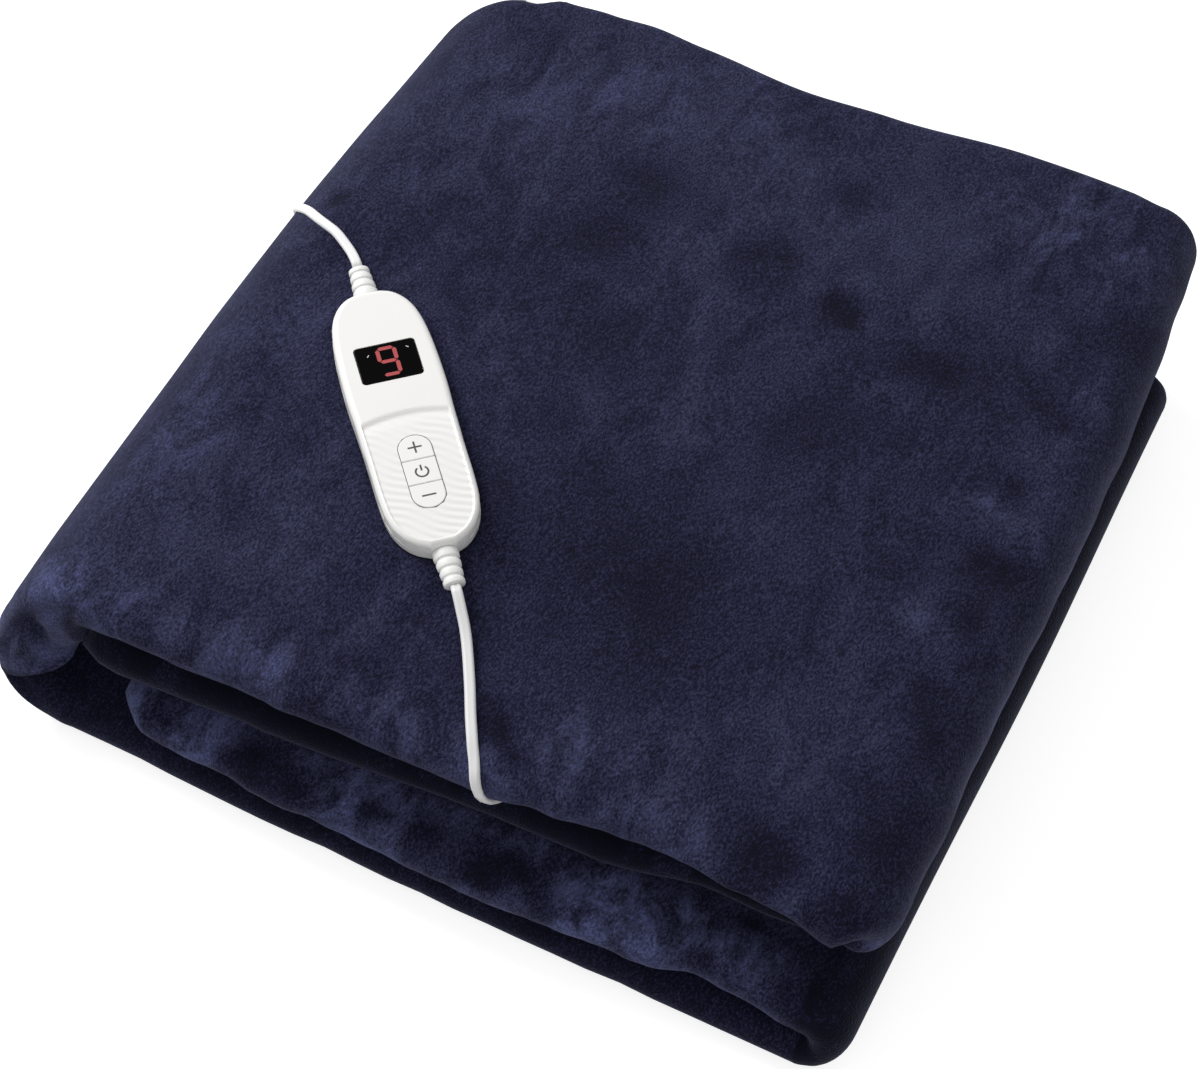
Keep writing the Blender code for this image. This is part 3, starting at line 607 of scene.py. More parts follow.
# ---- solids over an outline ----
def extrude_outline(outline, low, high, solid=None):
    """Upright solid over a closed outline, alone or added to one that is there."""
    if solid is None:
        solid = bmesh.new()
    floor = solid.faces.new([solid.verts.new((x, y, low)) for x, y in outline])
    raised = bmesh.ops.extrude_face_region(solid, geom=[floor])
    bmesh.ops.translate(solid, verts=new_verts(raised), vec=(0, 0, high - low))
    return solid


def round_rim(solid, level, width, segments):
    """Round the rim edges that lie at one level."""
    rim = [e for e in solid.edges if all(abs(v.co.z - level) < 1e-6 for v in e.verts)]
    bmesh.ops.bevel(solid, geom=rim, offset=width, offset_type="OFFSET", segments=segments, profile=0.5,
                    affect="EDGES", clamp_overlap=True, material=-1)


def stadium(length, width, centre_y, steps=16):
    """Outline with straight sides and round ends, its long way along Y."""
    radius = width / 2
    reach = length / 2 - radius
    outline = []
    for end, start in ((1, 0.0), (-1, math.pi)):
        for i in range(steps + 1):
            angle = start + math.pi * i / steps
            outline.append((radius * math.cos(angle), centre_y + end * reach + radius * math.sin(angle)))
    return outline


def round_rectangle(width, length, centre_y, corner, steps=5):
    outline = []
    for quarter, (sx, sy) in enumerate(((1, 1), (-1, 1), (-1, -1), (1, -1))):
        for i in range(steps + 1):
            angle = math.pi / 2 * (quarter + i / steps)
            outline.append((sx * (width / 2 - corner) + corner * math.cos(angle),
                            centre_y + sy * (length / 2 - corner) + corner * math.sin(angle)))
    return outline


def rectangle(left, right, low, high):
    return [(left, low), (right, low), (right, high), (left, high)]


def clip_outline(outline, low_y, high_y):
    """Part of a closed outline between two y levels."""
    clipped = []
    for (x0, y0), (x1, y1) in zip(outline, outline[1:] + outline[:1]):
        crossings = sorted({(y - y0) / (y1 - y0) for y in (low_y, high_y)
                            if (y0 - y) * (y1 - y) < 0})
        if low_y <= y0 <= high_y:
            clipped.append((x0, y0))
        for share in crossings:
            clipped.append((x0 + (x1 - x0) * share, y0 + (y1 - y0) * share))
    return clipped


# ---- plug ----
def add_plug(place, axis_height):
    """Flat two-pin plug, its relief and its pins, lying beside the coil."""
    white = moulded_material("moulded_white_pvc", "e9e9e8", 0.42, 0.00003)
    metal = nickel_material()

    relief = bmesh.new()
    points = [(0.0, 0.0), (PLUG_RELIEF_RADII[0] - 0.0004, 0.0)]
    ribs = 5
    for i in range(ribs):
        for share, narrower in ((0.06, 0.0), (0.62, 0.0), (0.72, 0.0007), (0.92, 0.0007)):
            distance = (i + share) / ribs
            radius = PLUG_RELIEF_RADII[0] + (PLUG_RELIEF_RADII[1] - PLUG_RELIEF_RADII[0]) * distance
            points.append((radius - narrower, distance * PLUG_RELIEF_LENGTH))
    points += [(PLUG_RELIEF_RADII[1] - 0.0002, PLUG_RELIEF_LENGTH), (0.0, PLUG_RELIEF_LENGTH)]
    spin_profile(relief, points, 24)
    pieces = [finish_piece("plug_cable_relief", relief, white, replaced=("plug_relief",),
                           place=place @ Matrix.Translation((0, 0, axis_height)))]

    near = PLUG_RELIEF_LENGTH + TOUCH_GAP
    far = near + PLUG_BODY_LENGTH
    half = PLUG_BODY_WIDTH / 2
    taper = metres((6.2, 0), (8.6, 2), (11.2, 7), (14, 13), (16.2, 19), (17.4, 25))
    outline = [(x, near + y) for x, y in taper]
    outline += [(half, near + 0.0310), (half, far - 0.0012), (half - 0.0012, far)]
    outline += [(-x, y) for x, y in reversed(outline)]
    body = extrude_outline(outline, TOUCH_GAP, TOUCH_GAP + PLUG_BODY_THICK)
    for level in (TOUCH_GAP, TOUCH_GAP + PLUG_BODY_THICK):
        round_rim(body, level, PLUG_ROUND, 5)
    pieces.append(finish_piece("plug_moulding", body, white, replaced=("plug_body",),
                               place=place, sharp=50))

    for name, side in (("plug_pin_left", -1), ("plug_pin_right", 1)):
        pin = bmesh.new()
        tip = 0.0012
        profile = [(0.0, 0.0), (PIN_RADIUS, 0.0), (PIN_RADIUS, PIN_LENGTH - tip)]
        for i in range(1, 5):
            angle = math.pi / 2 * i / 4
            round_off = tip * (1 - math.cos(angle))
            profile.append((PIN_RADIUS - round_off, PIN_LENGTH - tip + tip * math.sin(angle)))
        profile.append((0.0, PIN_LENGTH))
        spin_profile(pin, profile, 24)
        middle = (side * PIN_SPACING / 2, far + TOUCH_GAP, axis_height)
        pieces.append(finish_piece(name + "_metal", pin, metal, replaced=(name,),
                                   place=place @ Matrix.Translation(middle)))
    return pieces


def spin_profile(solid, points, steps):
    """Closed solid turned about Y from points of radius and distance."""
    verts = [solid.verts.new((radius, distance, 0.0)) for radius, distance in points]
    edges = [solid.edges.new(pair) for pair in zip(verts, verts[1:])]
    bmesh.ops.spin(solid, geom=verts + edges, cent=(0, 0, 0), axis=(0, 1, 0), angle=2 * math.pi, steps=steps,
                   use_merge=True)
    bmesh.ops.remove_doubles(solid, verts=solid.verts[:], dist=1e-6)


# ---- the folded cloth ----
def strip_section():
    """Middle line of the cloth across one strip, folded in three: rows of depth, height, normal."""
    outer = CLOTH_THICK / 2
    middle = outer + CLOTH_THICK + LAYER_GAP
    inner = middle + CLOTH_THICK + LAYER_GAP
    back_radius = (middle - outer) / 2
    front_radius = (inner - outer) / 2
    back_end = STRIP_DEPTH - back_radius - CLOTH_THICK / 2
    front_end = FRONT_BEND_REACH * front_radius + CLOTH_THICK / 2
    rows = []

    def straight(start, end, height, normal, steps, skip_first):
        for i in range(1 if skip_first else 0, steps + 1):
            rows.append((start + (end - start) * i / steps, height, 0.0, normal))

    def bend(centre_depth, centre_height, radius, reach, start, end, steps):
        for i in range(1, steps + 1):
            angle = start + (end - start) * i / steps
            normal = Vector((math.cos(angle) / reach, math.sin(angle))).normalized()
            rows.append((centre_depth + radius * reach * math.cos(angle),
                         centre_height + radius * math.sin(angle), normal.x, normal.y))

    half = math.pi / 2
    straight(INNER_FLAP_SETBACK, back_end, middle, 1.0, INNER_FLAP_STEPS, False)
    bend(back_end, (outer + middle) / 2, back_radius, 1.0, half, -half, BACK_BEND_STEPS)
    straight(back_end, front_end, outer, -1.0, FACE_STEPS, True)
    bend(front_end, (outer + inner) / 2, front_radius, FRONT_BEND_REACH, -half, -3 * half,
         FRONT_BEND_STEPS)
    straight(front_end, STRIP_DEPTH - OUTER_FLAP_SETBACK, inner, 1.0, OUTER_FLAP_STEPS, True)
    return rows


def strip_stations():
    """Places along the strip: part, share of it, x and z of its outer face, inward normal, front and back y,
    taper."""
    stations = []
    for index, (name, x0, x1, z0, z1, inward, taper, steps) in enumerate(PASSES):
        for i in range(0 if index == 0 else 1, steps + 1):
            share = i / steps
            x = x0 + (x1 - x0) * share
            stations.append((name, share, x, z0 + (z1 - z0) * ease(share), 0.0, inward,
                             read_rows(FRONT_EDGE[name], x), read_rows(BACK_EDGE[name], x), taper))
        if index == len(PASSES) - 1:
            break
        following = PASSES[index + 1]
        radius = abs(following[3] - z1) / 2
        centre_z = (following[3] + z1) / 2
        side = 1 if x1 > 0 else -1
        ends = [(read_rows(FRONT_EDGE[n], x1), read_rows(BACK_EDGE[n], x1), t)
                for n, t in ((name, taper), (following[0], following[6]))]
        fold, steps = FOLDS[index]
        for i in range(1, steps + 1):
            turned = math.pi * i / steps
            out_x, out_z = side * math.sin(turned), -side * math.cos(turned)
            front, back, taper_here = (a + (b - a) * ease(i / steps) for a, b in zip(*ends))
            if fold == "wrap":
                back = ends[0][1] + (ends[1][1] - ends[0][1]) * ease(2.2 * i / steps)
            stations.append((fold, i / steps, x1 + radius * out_x, centre_z + radius * out_z, -out_x, -out_z,
                             front, back, taper_here))
    return stations


def wrap_form(share, height):
    """How deep in the strip's layers a point lies, and its shares of the left wrap's dimple and rim."""
    layer = (height - CLOTH_THICK / 2) / (STRIP_THICK - CLOTH_THICK)
    dimple = math.exp(-((share - 0.32) / 0.08) ** 2 - ((layer - 0.42) / 0.25) ** 2)
    return layer, dimple, math.exp(-((layer - 0.17) / 0.06) ** 2)


def relax(part, share, x, depth, height):
    """Let a point of the strip out of its neat fold, as the plush swells and sags along the front."""
    near = ease((0.034 - depth) / 0.017)
    fading = ease((0.09 - depth) / 0.07)
    rise = 0.0
    if part == "wrap":
        # The upper half swells to fill the fold, dimpled, and the lower half sits back behind a crease
        upper = ease(share / 0.10) * ease((WRAP_CREASE + 0.02 - share) / 0.03)
        lower = ease((share - WRAP_CREASE) / 0.03) * ease((0.97 - share) / 0.25)
        layer, dimple, rim = wrap_form(share, height)
        rim *= ease((WRAP_CREASE - share) / 0.08)
        depth += near * (0.007 * dimple - 0.0015 * upper + 0.0032 * rim)
        depth += 0.010 * lower * fading * (0.15 + 0.85 * ease(layer / 0.6))
        depth -= 0.0055 * fading * math.sin(math.pi * ease((share - 0.5) / 0.5))
        height *= 1 + near * upper
    elif part == "top":
        # The lip thins out towards its right corner, where it is drawn down
        height *= 1 - 0.45 * near * ease((x - 0.095) / 0.045) * ease((0.200 - x) / 0.018)
        height *= 1 + 0.36 * near * ease((x - 0.180) / 0.0233)
    elif part == "top_fold":
        height *= 1 + 0.36 * near * ease((share - 0.3) / 0.7)
        depth += fading * (0.012 * (1 - ease(share / 0.4)) + 0.012 * math.sin(math.pi * share) ** 2)
        rise = 0.008 * fading * ease(1 - share / 0.5)
    elif part == "under_top":
        depth += 0.004 * fading + 0.008 * fading * ease((x - 0.090) / 0.050)
        rise = 0.008 * fading * ease((x - 0.160) / 0.040)
    elif part == "low_fold":
        height *= 1 + 0.25 * near * ease((share - 0.35) / 0.65)
    height += rise * (1 - height / STRIP_THICK)
    if part == "second":
        height *= 1 + 0.25 * near * ease((x - 0.172) / 0.022)
        # The free end at the left is a rounded tongue
        beyond = min(max(-0.128 - x, 0.0) / 0.0284, 1.0)
        depth += 0.011 * fading * (1 - math.sqrt(1 - beyond ** 2))
    for end_part, end_x in (("second", PASSES[3][2]), ("under_top", PASSES[0][1])):
        if part == end_part:
            beyond = min(max(end_x + 0.008 - x, 0.0) / 0.008, 1.0)
            middle = STRIP_THICK / 2
            height = middle + (height - middle) * math.sqrt(1 - 0.75 * beyond ** 2)
    return depth, height


def turned_back(x, y, turn):
    """A place in directions that are turned by an angle."""
    return x * math.cos(turn) + y * math.sin(turn), y * math.cos(turn) - x * math.sin(turn)


def handset_share(x, y):
    """A place on the top face in the handset's own directions, across and along, and how far it lies
    outside the level seat."""
    across, along = turned_back(x - HANDSET_PLACE[0], y - HANDSET_PLACE[1], HANDSET_TURN)
    return across, along, outside(across, along, SEAT_HALF_WIDTH, SEAT_HALF_LENGTH)


def outside(across, along, half_width, half_length):
    return math.hypot(max(0.0, abs(across) - half_width), max(0.0, abs(along) - half_length))


def top_height(x, y):
    """Height of the pack's top face, level where the handset lies."""
    columns = [read_rows(TOP_HEIGHT, y, column) for column in (1, 2, 3)]
    height = read_rows(tuple(zip(TOP_HEIGHT_X, columns)), x)
    beyond = handset_share(x, y)[2]
    return height + (SEAT_LEVEL - height) * ease(1 - beyond / SEAT_BLEND)


def edge_wobble(part, x):
    """Small uneven runs of a front edge, which no hand folds quite straight."""
    size = {"top": 0.0012, "second": 0.0014}.get(part, 0.0008)
    seed = len(part)
    return size * (noise.noise(Vector((x * 38, seed, 0.0))) + 0.6 * noise.noise(Vector((x * 95, seed, 4.0))))


def settle(x, y, z):
    """Height of a point once the pack has settled: soft waves, the pile that the handset has pressed up
    round itself, and a little lower along the right."""
    across, along, beyond = handset_share(x, y)
    free = ease((beyond - 0.010) / 0.040)
    half_length = HANDSET_LENGTH / 2
    half_width = outline_width(min(max(along, -half_length), half_length))
    gap = outside(across, along, half_width, half_length)
    swell = PILE_SWELL * ease(gap / 0.003) * ease(1 - gap / 0.026) * ease((z - 0.085) / 0.004)
    wave = (noise.noise(Vector((x * 11, y * 9, 1.0))) + 0.5 * noise.noise(Vector((x * 24, y * 21, 7.0))))
    wave *= free * ease((0.205 - y) / 0.045)
    return swell + z * (1 + WAVE_SHARE * wave - RIGHT_SAG * ease((x - 0.14) / 0.06))


def fold_point(station, depth, height):
    """Carry a point of the strip section to its place in the pack."""
    part, share, x, z, normal_x, normal_z, front, back, taper = station
    depth, height = relax(part, share, x, depth, height)
    front += edge_wobble(part, x)
    spare = (back - front) - STRIP_DEPTH
    y = front + depth + spare * ease((depth - 0.02) / (STRIP_DEPTH - 0.04))
    x += normal_x * height
    if part == "top_fold":
        uneven = 0.0016 * noise.noise(Vector((y * 34, 0.0, 2.0)))
        x += (uneven - 0.0030 * math.exp(-((y + 0.04) / 0.09) ** 2)) * math.sin(math.pi * share)
    elif part == "low_fold":
        x += 0.0022 * math.exp(-(y / 0.11) ** 2) * math.sin(math.pi * share)
    z += normal_z * height
    share = max(0.0, depth / STRIP_DEPTH - TAPER_START) / (1 - TAPER_START)
    x *= 1 - taper * BACK_TAPER * share ** TAPER_POWER
    foot = math.sin(math.pi * min(max(z / LEFT_FOOT_HEIGHT, 0.0), 1.0))
    for place, (start, whole) in ((x, LEFT_FOOT_X), (y, LEFT_FOOT_Y)):
        foot *= ease((place - start) / (whole - start))
    x -= LEFT_FOOT_BULGE * foot
    return Vector((x, y, settle(x, y, z * top_height(x, y) / TOP_LEVEL)))


def patch_and_painted_light(point):
    """How much lighter or darker the plush is at a point, from the listed marks: patches, painted shade and
    painted highlights.
    """
    total = 0.0
    point = point + Vector([noise.noise(point * MARK_STRAY_SCALE + Vector((shift, 0.0, 0.0)))
                            for shift in MARK_STRAY_SHIFTS]) * MARK_STRAY
    for x, y, z, radius, strength in PATCH_AND_PAINTED_LIGHT_MARKS:
        away = (point - Vector((x, y, z))).length / radius
        if away < 2.2:
            total += strength * math.exp(-away * away * 1.2)
    return max(1.5 * total, DARKEST_MARK) if total < 0 else total


def painted_fold_light(part, share, point, depth, height):
    """Painted light and shade at the folds: painted highlights on the top's front lip, on the left wrap's
    upper half and along the right fold's rim, and on the front of the lower roll; painted shade in the left
    wrap's dimple, rim, inner end and lower half, on the fronts of the pass under the lip and of the bottom
    pass, and on the lower tier's right fold."""
    front = ease((0.040 - depth) / 0.020)
    if part == "top" and height < 0.011:
        return 0.7 * ease((0.034 - depth) / 0.024)
    if part == "second":
        return 1.7 * ease((0.045 - depth) / 0.020)
    if part == "wrap":
        upper = ease((WRAP_CREASE - share) / 0.03)
        layer, dimple, rim = wrap_form(share, height)
        inner = ease((0.14 - share) / 0.10) * ease((layer - 0.25) / 0.2)
        return front * (upper * (1.0 - 1.5 * dimple - 0.7 * rim - 1.6 * inner) - 1.0 * (1 - upper))
    if part in ("under_top", "floor"):
        return (-2.2 if part == "under_top" else -1.0) * front
    if part == "low_fold":
        return -3.0 * ease((0.055 - point.z) / 0.010)
    if part == "top_fold":
        return 1.3 * math.exp(-((share - 0.45) / 0.10) ** 2) * ease((0.18 - point.y) / 0.1)
    return 0.0


def add_cloth(material):
    """The throw starts as a flat slab, and each of its points is carried to its place in the folds."""
    section = strip_section()
    stations = strip_stations()
    columns, rows = len(section) - 1, len(stations) - 1
    slab = bmesh.new()
    patches_and_painted_light = slab.verts.layers.float.new("patches_and_painted_light")
    bmesh.ops.create_grid(slab, x_segments=columns, y_segments=rows, size=0.5, calc_uvs=True)
    skin = bmesh.ops.extrude_face_region(slab, geom=slab.faces[:])
    lifted = set(new_verts(skin))
    bmesh.ops.translate(slab, verts=list(lifted), vec=(0, 0, 0.1))
    bmesh.ops.recalc_face_normals(slab, faces=slab.faces)
    flat = slab.loops.layers.uv.verify()
    for face in slab.faces:
        for loop in face.loops:
            loop[flat].uv = tuple((c + 0.5) * size for c, size in zip(loop.vert.co, FLAT_CUT))
    for vert in slab.verts:
        depth, height, normal_depth, normal_height = section[round((vert.co.x + 0.5) * columns)]
        offset = CLOTH_THICK / 2 * (1 if vert in lifted else -1)
        station = stations[round((vert.co.y + 0.5) * rows)]
        vert.co = fold_point(station, depth + normal_depth * offset, height + normal_height * offset)
        # each point's marks, with painted shade and highlights among them, then the folds' painted light and
        # shade
        mark = patch_and_painted_light(vert.co)
        vert.co.z += MARK_HOLLOW * min(mark, 0.0) * ease((vert.co.z - 0.03) / 0.01)
        painted_at_fold = painted_fold_light(station[0], station[1], vert.co, depth, height)
        vert[patches_and_painted_light] = mark + (painted_at_fold if painted_at_fold < 0 else painted_at_fold * max(1 + min(mark, 0.0), 0.0))
    bmesh.ops.reverse_faces(slab, faces=slab.faces)
    cloth = finish_piece("plush_blanket", slab, material, replaced=("blanket",),
                         face_out=False, sharp=0)


# ---- handset ----
def outline_width(y):
    """Half width of the handset at a place along it."""
    rows = tuple(reversed(HANDSET_OUTLINE))
    for (y0, w0), (y1, w1) in zip(rows, rows[1:]):
        if y <= y1:
            return w0 + (w1 - w0) * (y - y0) / (y1 - y0)
    return rows[-1][1]


def smooth_outline(step=0.0022):
    """Handset outline as a smooth curve through its rows, right side from the mains end, then left."""
    right = smooth_route([(half, y, 0.0) for y, half in HANDSET_OUTLINE], step)
    return [(p.x, p.y) for p in right] + [(-p.x, p.y) for p in reversed(right)]


def distance_to(outline, x, y):
    """Distance from a point to a closed outline."""
    best = 1.0
    point = Vector((x, y))
    for a, b in zip(outline, outline[1:] + outline[:1]):
        start, run = Vector(a), Vector(b) - Vector(a)
        share = min(max((point - start).dot(run) / max(run.length_squared, 1e-12), 0.0), 1.0)
        best = min(best, (start + run * share - point).length)
    return best


def panel_share(x, y, edge_distance):
    """How far in the recessed lower panel a point lies, 0 to 1, and its share of the ledge's groove."""
    ledge = PANEL_TOP_MIDDLE + (PANEL_TOP_SIDE - PANEL_TOP_MIDDLE) * (x / 0.021) ** 2
    below = ledge - y
    inside = ease((edge_distance - PANEL_MARGIN) / 0.0009 + 0.5)
    return inside * ease(below / LEDGE_RUN + 0.5), ease(1 - below / LEDGE_GROOVE_WIDTH)


def ridges(x, y):
    """Low wavy ridges that cross the lower panel."""
    along, across = turned_back(x, y, RIDGE_TURN)
    wave = across + 0.0011 * math.sin(along / 0.0048)
    return RIDGE_DEPTH * (0.5 + 0.5 * math.sin(2 * math.pi * wave / RIDGE_PITCH))


def shell_top(x, y, outline):
    """Height of the upper shell's outside."""
    edge = distance_to(outline, x, y)
    height = HANDSET_HEIGHT
    if edge < COVER_ROUND:
        fall = 1 - edge / COVER_ROUND
        height -= COVER_DROP * (1 - math.sqrt(max(0.0, 1 - fall * fall)))
    share, groove = panel_share(x, y, edge)
    waves = ridges(x, y) * (1 - groove) - RIDGE_DEPTH / 2
    return height - share * (PANEL_DEPTH + LEDGE_GROOVE * groove + waves)


def add_handset(place):
    """Handset: lower and upper shell, display, keys with their signs, and a strain relief at each end."""
    gloss = moulded_material("moulded_white_abs", "f1f0ee", 0.26, 0.00001, coat=0.25)
    warm = moulded_material("warm_white_key_rubber", "efeeec", 0.45, 0.00002)
    pvc = moulded_material("soft_white_pvc", "ececea", 0.48, 0.00003)
    outline = smooth_outline()

    base = extrude_outline(outline, 0.0, BASE_HEIGHT)
    round_rim(base, 0.0, BASE_ROUND, 4)
    finish_piece("handset_lower_shell", base, gloss, replaced=("handset_base",), place=place,
                 sharp=40)

    add_upper_shell(place, outline, gloss)
    add_display(place)
    add_keys(place, warm)
    start = HANDSET_LENGTH / 2 + TOUCH_GAP
    profile = ((0.0, 0.0), *RELIEF_PROFILE, (RELIEF_LENGTH, 0.0))
    for name, end in (("relief_mains", 1), ("relief_blanket", -1)):
        relief = bmesh.new()
        spin_profile(relief, [(radius, end * (start + distance)) for distance, radius in profile], 32)
        bmesh.ops.scale(relief, vec=(1, 1, RELIEF_FLATTEN), verts=relief.verts[:])
        piece = finish_piece(name + "_ribbed", relief, pvc, replaced=(name,),
                             place=place @ Matrix.Translation((0, 0, RELIEF_LEVEL)), sharp=0)
        rounded = piece.modifiers.new("soft_edges", "BEVEL")
        rounded.width = 0.0003
        rounded.segments = 2
        rounded.limit_method = "ANGLE"


def add_upper_shell(place, outline, material):
    """The upper shell's outside is a fine grid, lowered at its rim and over the lower panel."""
    shell = bmesh.new()
    bmesh.ops.create_grid(shell, x_segments=84, y_segments=200, size=1.0)
    half_length = HANDSET_LENGTH / 2
    for vert in shell.verts:
        u, v = (math.copysign(1 - (1 - abs(c)) ** 1.5, c) for c in (vert.co.x, vert.co.y))
        y = half_length * v
        vert.co = Vector((u * outline_width(y), y, 0.0))
        vert.co.z = shell_top(vert.co.x, y, outline)
    rim = [e for e in shell.edges if e.is_boundary]
    skirt = bmesh.ops.extrude_edge_only(shell, edges=rim)
    for vert in new_verts(skirt):
        vert.co.z = BASE_HEIGHT + TOUCH_GAP
    bmesh.ops.contextual_create(shell, geom=[e for e in shell.edges if e.is_boundary])
    shell = finish_piece("handset_upper_shell", shell, material, replaced=("handset_cover",),
                         place=place, sharp=50)

    window_hole = round_rectangle(*(size + 2 * TOUCH_GAP for size in WINDOW_SIZE), WINDOW_CENTRE_Y,
                                  WINDOW_CORNER + TOUCH_GAP)
    key_hole = stadium(KEYS_LENGTH + 2 * KEY_GAP, KEYS_WIDTH + 2 * KEY_GAP, KEYS_CENTRE_Y)
    key_floor = HANDSET_HEIGHT - PANEL_DEPTH + KEY_PROUD - KEY_THICK - KEY_TRAVEL_ROOM
    for name, hole, floor in (("window_pocket", window_hole, HANDSET_HEIGHT - WINDOW_THICK - TOUCH_GAP),
                              ("key_pocket", key_hole, key_floor)):
        solid = extrude_outline(hole, floor, HANDSET_HEIGHT + 0.004)
        bmesh.ops.transform(solid, matrix=place, verts=solid.verts[:])
        bmesh.ops.recalc_face_normals(solid, faces=solid.faces)
        cut_out(shell, name, solid)


def cut_out(piece, name, solid):
    """Cut a solid's shape out of a piece and keep only the result."""
    mesh = bpy.data.meshes.new(name)
    solid.to_mesh(mesh)
    solid.free()
    cutter = bpy.data.objects.new(name, mesh)
    bpy.context.scene.collection.objects.link(cutter)
    modifier = piece.modifiers.new(name, "BOOLEAN")
    modifier.operation = "DIFFERENCE"
    modifier.solver = "EXACT"
    modifier.object = cutter
    bpy.context.view_layer.update()
    cut_mesh = bpy.data.meshes.new_from_object(piece.evaluated_get(bpy.context.evaluated_depsgraph_get()))
    piece.modifiers.clear()
    piece.data = cut_mesh
    piece.data.set_sharp_from_angle(angle=math.radians(50))
    bpy.data.objects.remove(cutter, do_unlink=True)


def add_display(place):
    """Smoked window with one lit digit and two small marks."""
    window = extrude_outline(round_rectangle(*WINDOW_SIZE, WINDOW_CENTRE_Y, WINDOW_CORNER),
                             HANDSET_HEIGHT - WINDOW_THICK, HANDSET_HEIGHT)
    round_rim(window, HANDSET_HEIGHT, 0.0003, 2)
    finish_piece("window_glass", window, window_material(), replaced=("display_window",),
                 place=place, sharp=12)

    # One seven-segment digit: x, y of each segment's middle, and whether it lies across
    digit_width, digit_height, stroke = 0.0083, 0.0164, 0.0020
    middle_x, middle_y = 0.0002, WINDOW_CENTRE_Y + 0.0002
    half = digit_height / 4
    side = digit_width / 2
    segments = ((0, 2 * half, True), (0, 0, True), (0, -2 * half, True), (-side, half, False),
                (side, half, False), (side, -half, False))
    print_level = HANDSET_HEIGHT + 0.00002
    digit = bmesh.new()
    for x, y, lies in segments:
        length = (digit_width if lies else digit_height / 2) - stroke * 0.30
        tip, edge = length / 2, stroke / 2
        bar = [(-tip, 0), (edge - tip, edge), (tip - edge, edge), (tip, 0), (tip - edge, -edge),
               (edge - tip, -edge)]
        if not lies:
            bar = [(-q, p) for p, q in bar]
        add_flat(digit, [(middle_x + x + p, middle_y + y + q) for p, q in bar], print_level)
    finish_piece("display_digit", digit, lit_material(), place=place, sharp=30)

    marks = bmesh.new()
    for x, y, turn in ((-0.0088, 0.0380, 0.9), (0.0108, 0.0392, -0.7)):
        bar = [turned_back(p, q, -turn) for p, q in rectangle(-0.0008, 0.0008, -0.00022, 0.00022)]
        add_flat(marks, [(x + p, y + q) for p, q in bar], print_level)
    finish_piece("display_marks", marks, moulded_material("white_light_mark", "c9cccb", 0.4, 0.00001),
                 place=place)


def add_flat(target, outline, level):
    """A very thin plate over an outline, as print is."""
    extrude_outline(outline, level, level + PRINT_THICK, target)


def add_key_gap_shade(place, key_top):
    """Thin grey ring of painted shade in the gap round the three keys, a little below their tops."""
    shade_ring = bmesh.new()
    loops = []
    for gap in (GAP_SHADE_PLAY, KEY_GAP - GAP_SHADE_PLAY / 2):
        outline = stadium(KEYS_LENGTH + 2 * gap, KEYS_WIDTH + 2 * gap, KEYS_CENTRE_Y)
        verts = [shade_ring.verts.new((x, y, key_top - GAP_SHADE_DROP)) for x, y in outline]
        loops += [shade_ring.edges.new(pair) for pair in zip(verts, verts[1:] + verts[:1])]
    ring = bmesh.ops.bridge_loops(shade_ring, edges=loops)["faces"]
    lowered = bmesh.ops.extrude_face_region(shade_ring, geom=ring)
    bmesh.ops.translate(shade_ring, verts=new_verts(lowered), vec=(0, 0, -GAP_SHADE_THICK))
    finish_piece("key_gap_painted_shade", shade_ring, moulded_material("grey_painted_gap_shade", "6f6f70", 0.6, 0.00001),
                 place=place)


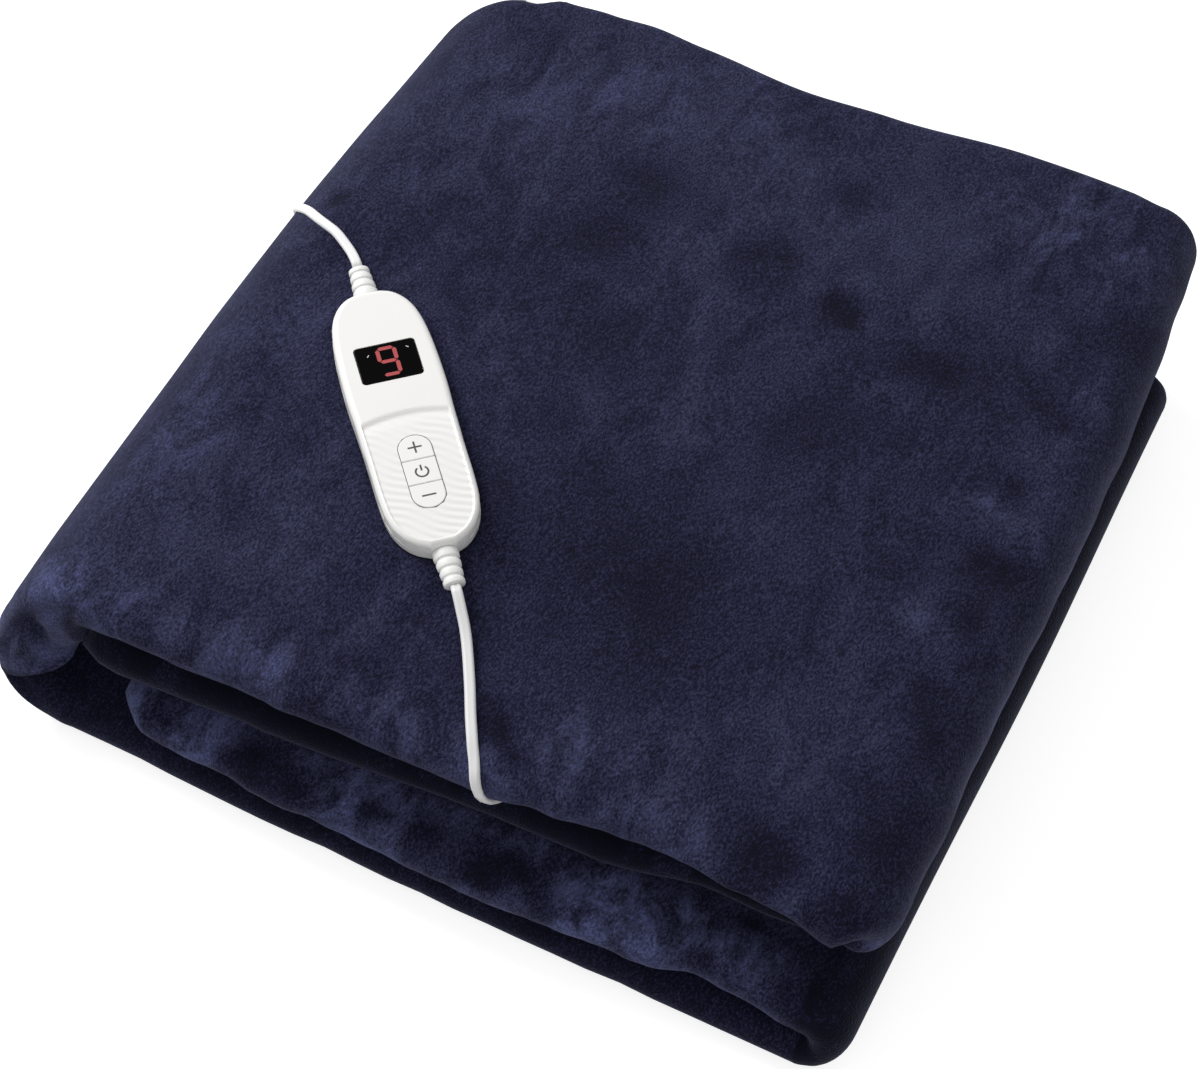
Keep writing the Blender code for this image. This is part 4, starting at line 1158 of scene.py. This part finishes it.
def add_keys(place, material):
    """Three keys that share one oval, each with its printed sign."""
    ink = print_material()
    key_top = HANDSET_HEIGHT - PANEL_DEPTH + KEY_PROUD
    # painted shade in the gap round the keys, as a grey ring
    add_key_gap_shade(place, key_top)
    third = KEYS_LENGTH / 3
    line = PRINT_LINE / 2
    reach = 0.0034
    long_bar = rectangle(-reach, reach, -line, line)
    ring = []
    for radius, angles in ((0.0030 + line, range(55, -236, -15)), (0.0030 - line, range(-235, 56, 15))):
        ring += [(radius * math.cos(math.radians(a)), radius * math.sin(math.radians(a)) - 0.0004)
                 for a in angles]
    signs = {"plus": (long_bar, rectangle(-line, line, line, reach), rectangle(-line, line, -reach, -line)),
             "power": (ring, rectangle(-line, line, 0.0002, 0.0036)), "minus": (long_bar,)}
    for name, row in (("plus", 1), ("power", 0), ("minus", -1)):
        low_y = -third / 2 + (KEY_GAP / 2 if row > -1 else -1)
        high_y = third / 2 - (KEY_GAP / 2 if row < 1 else -1)
        pad = stadium(KEYS_LENGTH, KEYS_WIDTH, -row * third)
        on_axis = place @ Matrix.Translation((0, KEYS_CENTRE_Y + row * third, key_top))
        key = extrude_outline(clip_outline(pad, low_y, high_y), -KEY_THICK, 0.0)
        round_rim(key, 0.0, 0.00035, 2)
        finish_piece(name + "_key_cap", key, material, replaced=("key_" + name,), body=name,
                     place=on_axis, sharp=12)
        sign = bmesh.new()
        for part in signs[name]:
            add_flat(sign, part, 0.00001)
        finish_piece(name + "_sign", sign, ink, body=name, place=on_axis)


# ---- floor and light ----
def add_studio():
    """Bright paper floor that glows a little, one wide soft light from the back left, and pale air."""
    floor = bmesh.new()
    bmesh.ops.create_grid(floor, x_segments=1, y_segments=1, size=6.0)
    mesh = bpy.data.meshes.new("studio_floor")
    floor.to_mesh(mesh)
    floor.free()
    plane = bpy.data.objects.new("studio_floor", mesh)
    plane.location.z = -0.0004
    plane.visible_diffuse = False
    bpy.context.scene.collection.objects.link(plane)
    paper = new_material("lit_matt_paper", Base_Color=linear("c8c8c8"), Roughness=0.9,
                         Emission_Color=linear("ffffff"), Emission_Strength=0.76)[0]
    mesh.materials.append(paper)
    # name, place, size, watts
    for name, place, size, power in (("wide_back_left", (-1.75, 0.65, 1.5), 1.3, 46.0),
                                     ("front_fill", (0.3, -1.9, 1.6), 1.4, 5.0)):
        lamp = bpy.data.lights.new(name, "AREA")
        lamp.shape = "DISK"
        lamp.size = size
        lamp.energy = power
        light = bpy.data.objects.new(name, lamp)
        light.location = place
        light.rotation_mode = "QUATERNION"
        light.rotation_quaternion = (-Vector(place)).to_track_quat("-Z", "Y")
        bpy.context.scene.collection.objects.link(light)
    world = bpy.data.worlds.new("pale_air")
    world.use_nodes = True
    air = world.node_tree.nodes["Background"]
    air.inputs["Color"].default_value = linear("ffffff")
    air.inputs["Strength"].default_value = 0.48
    bpy.context.scene.world = world
    bpy.context.scene.view_settings.view_transform = "Standard"


def main():
    add_camera()
    flex = moulded_material("white_pvc_flex", "e8e7e8", 0.40, 0.00002)
    add_mains_lead(flex)
    add_blanket_lead(flex)
    add_cloth(plush_material())
    add_handset(Matrix.Translation((*HANDSET_PLACE, SEAT_LEVEL + TOUCH_GAP))
                @ Matrix.Rotation(HANDSET_TURN, 4, "Z"))
    add_studio()


main()
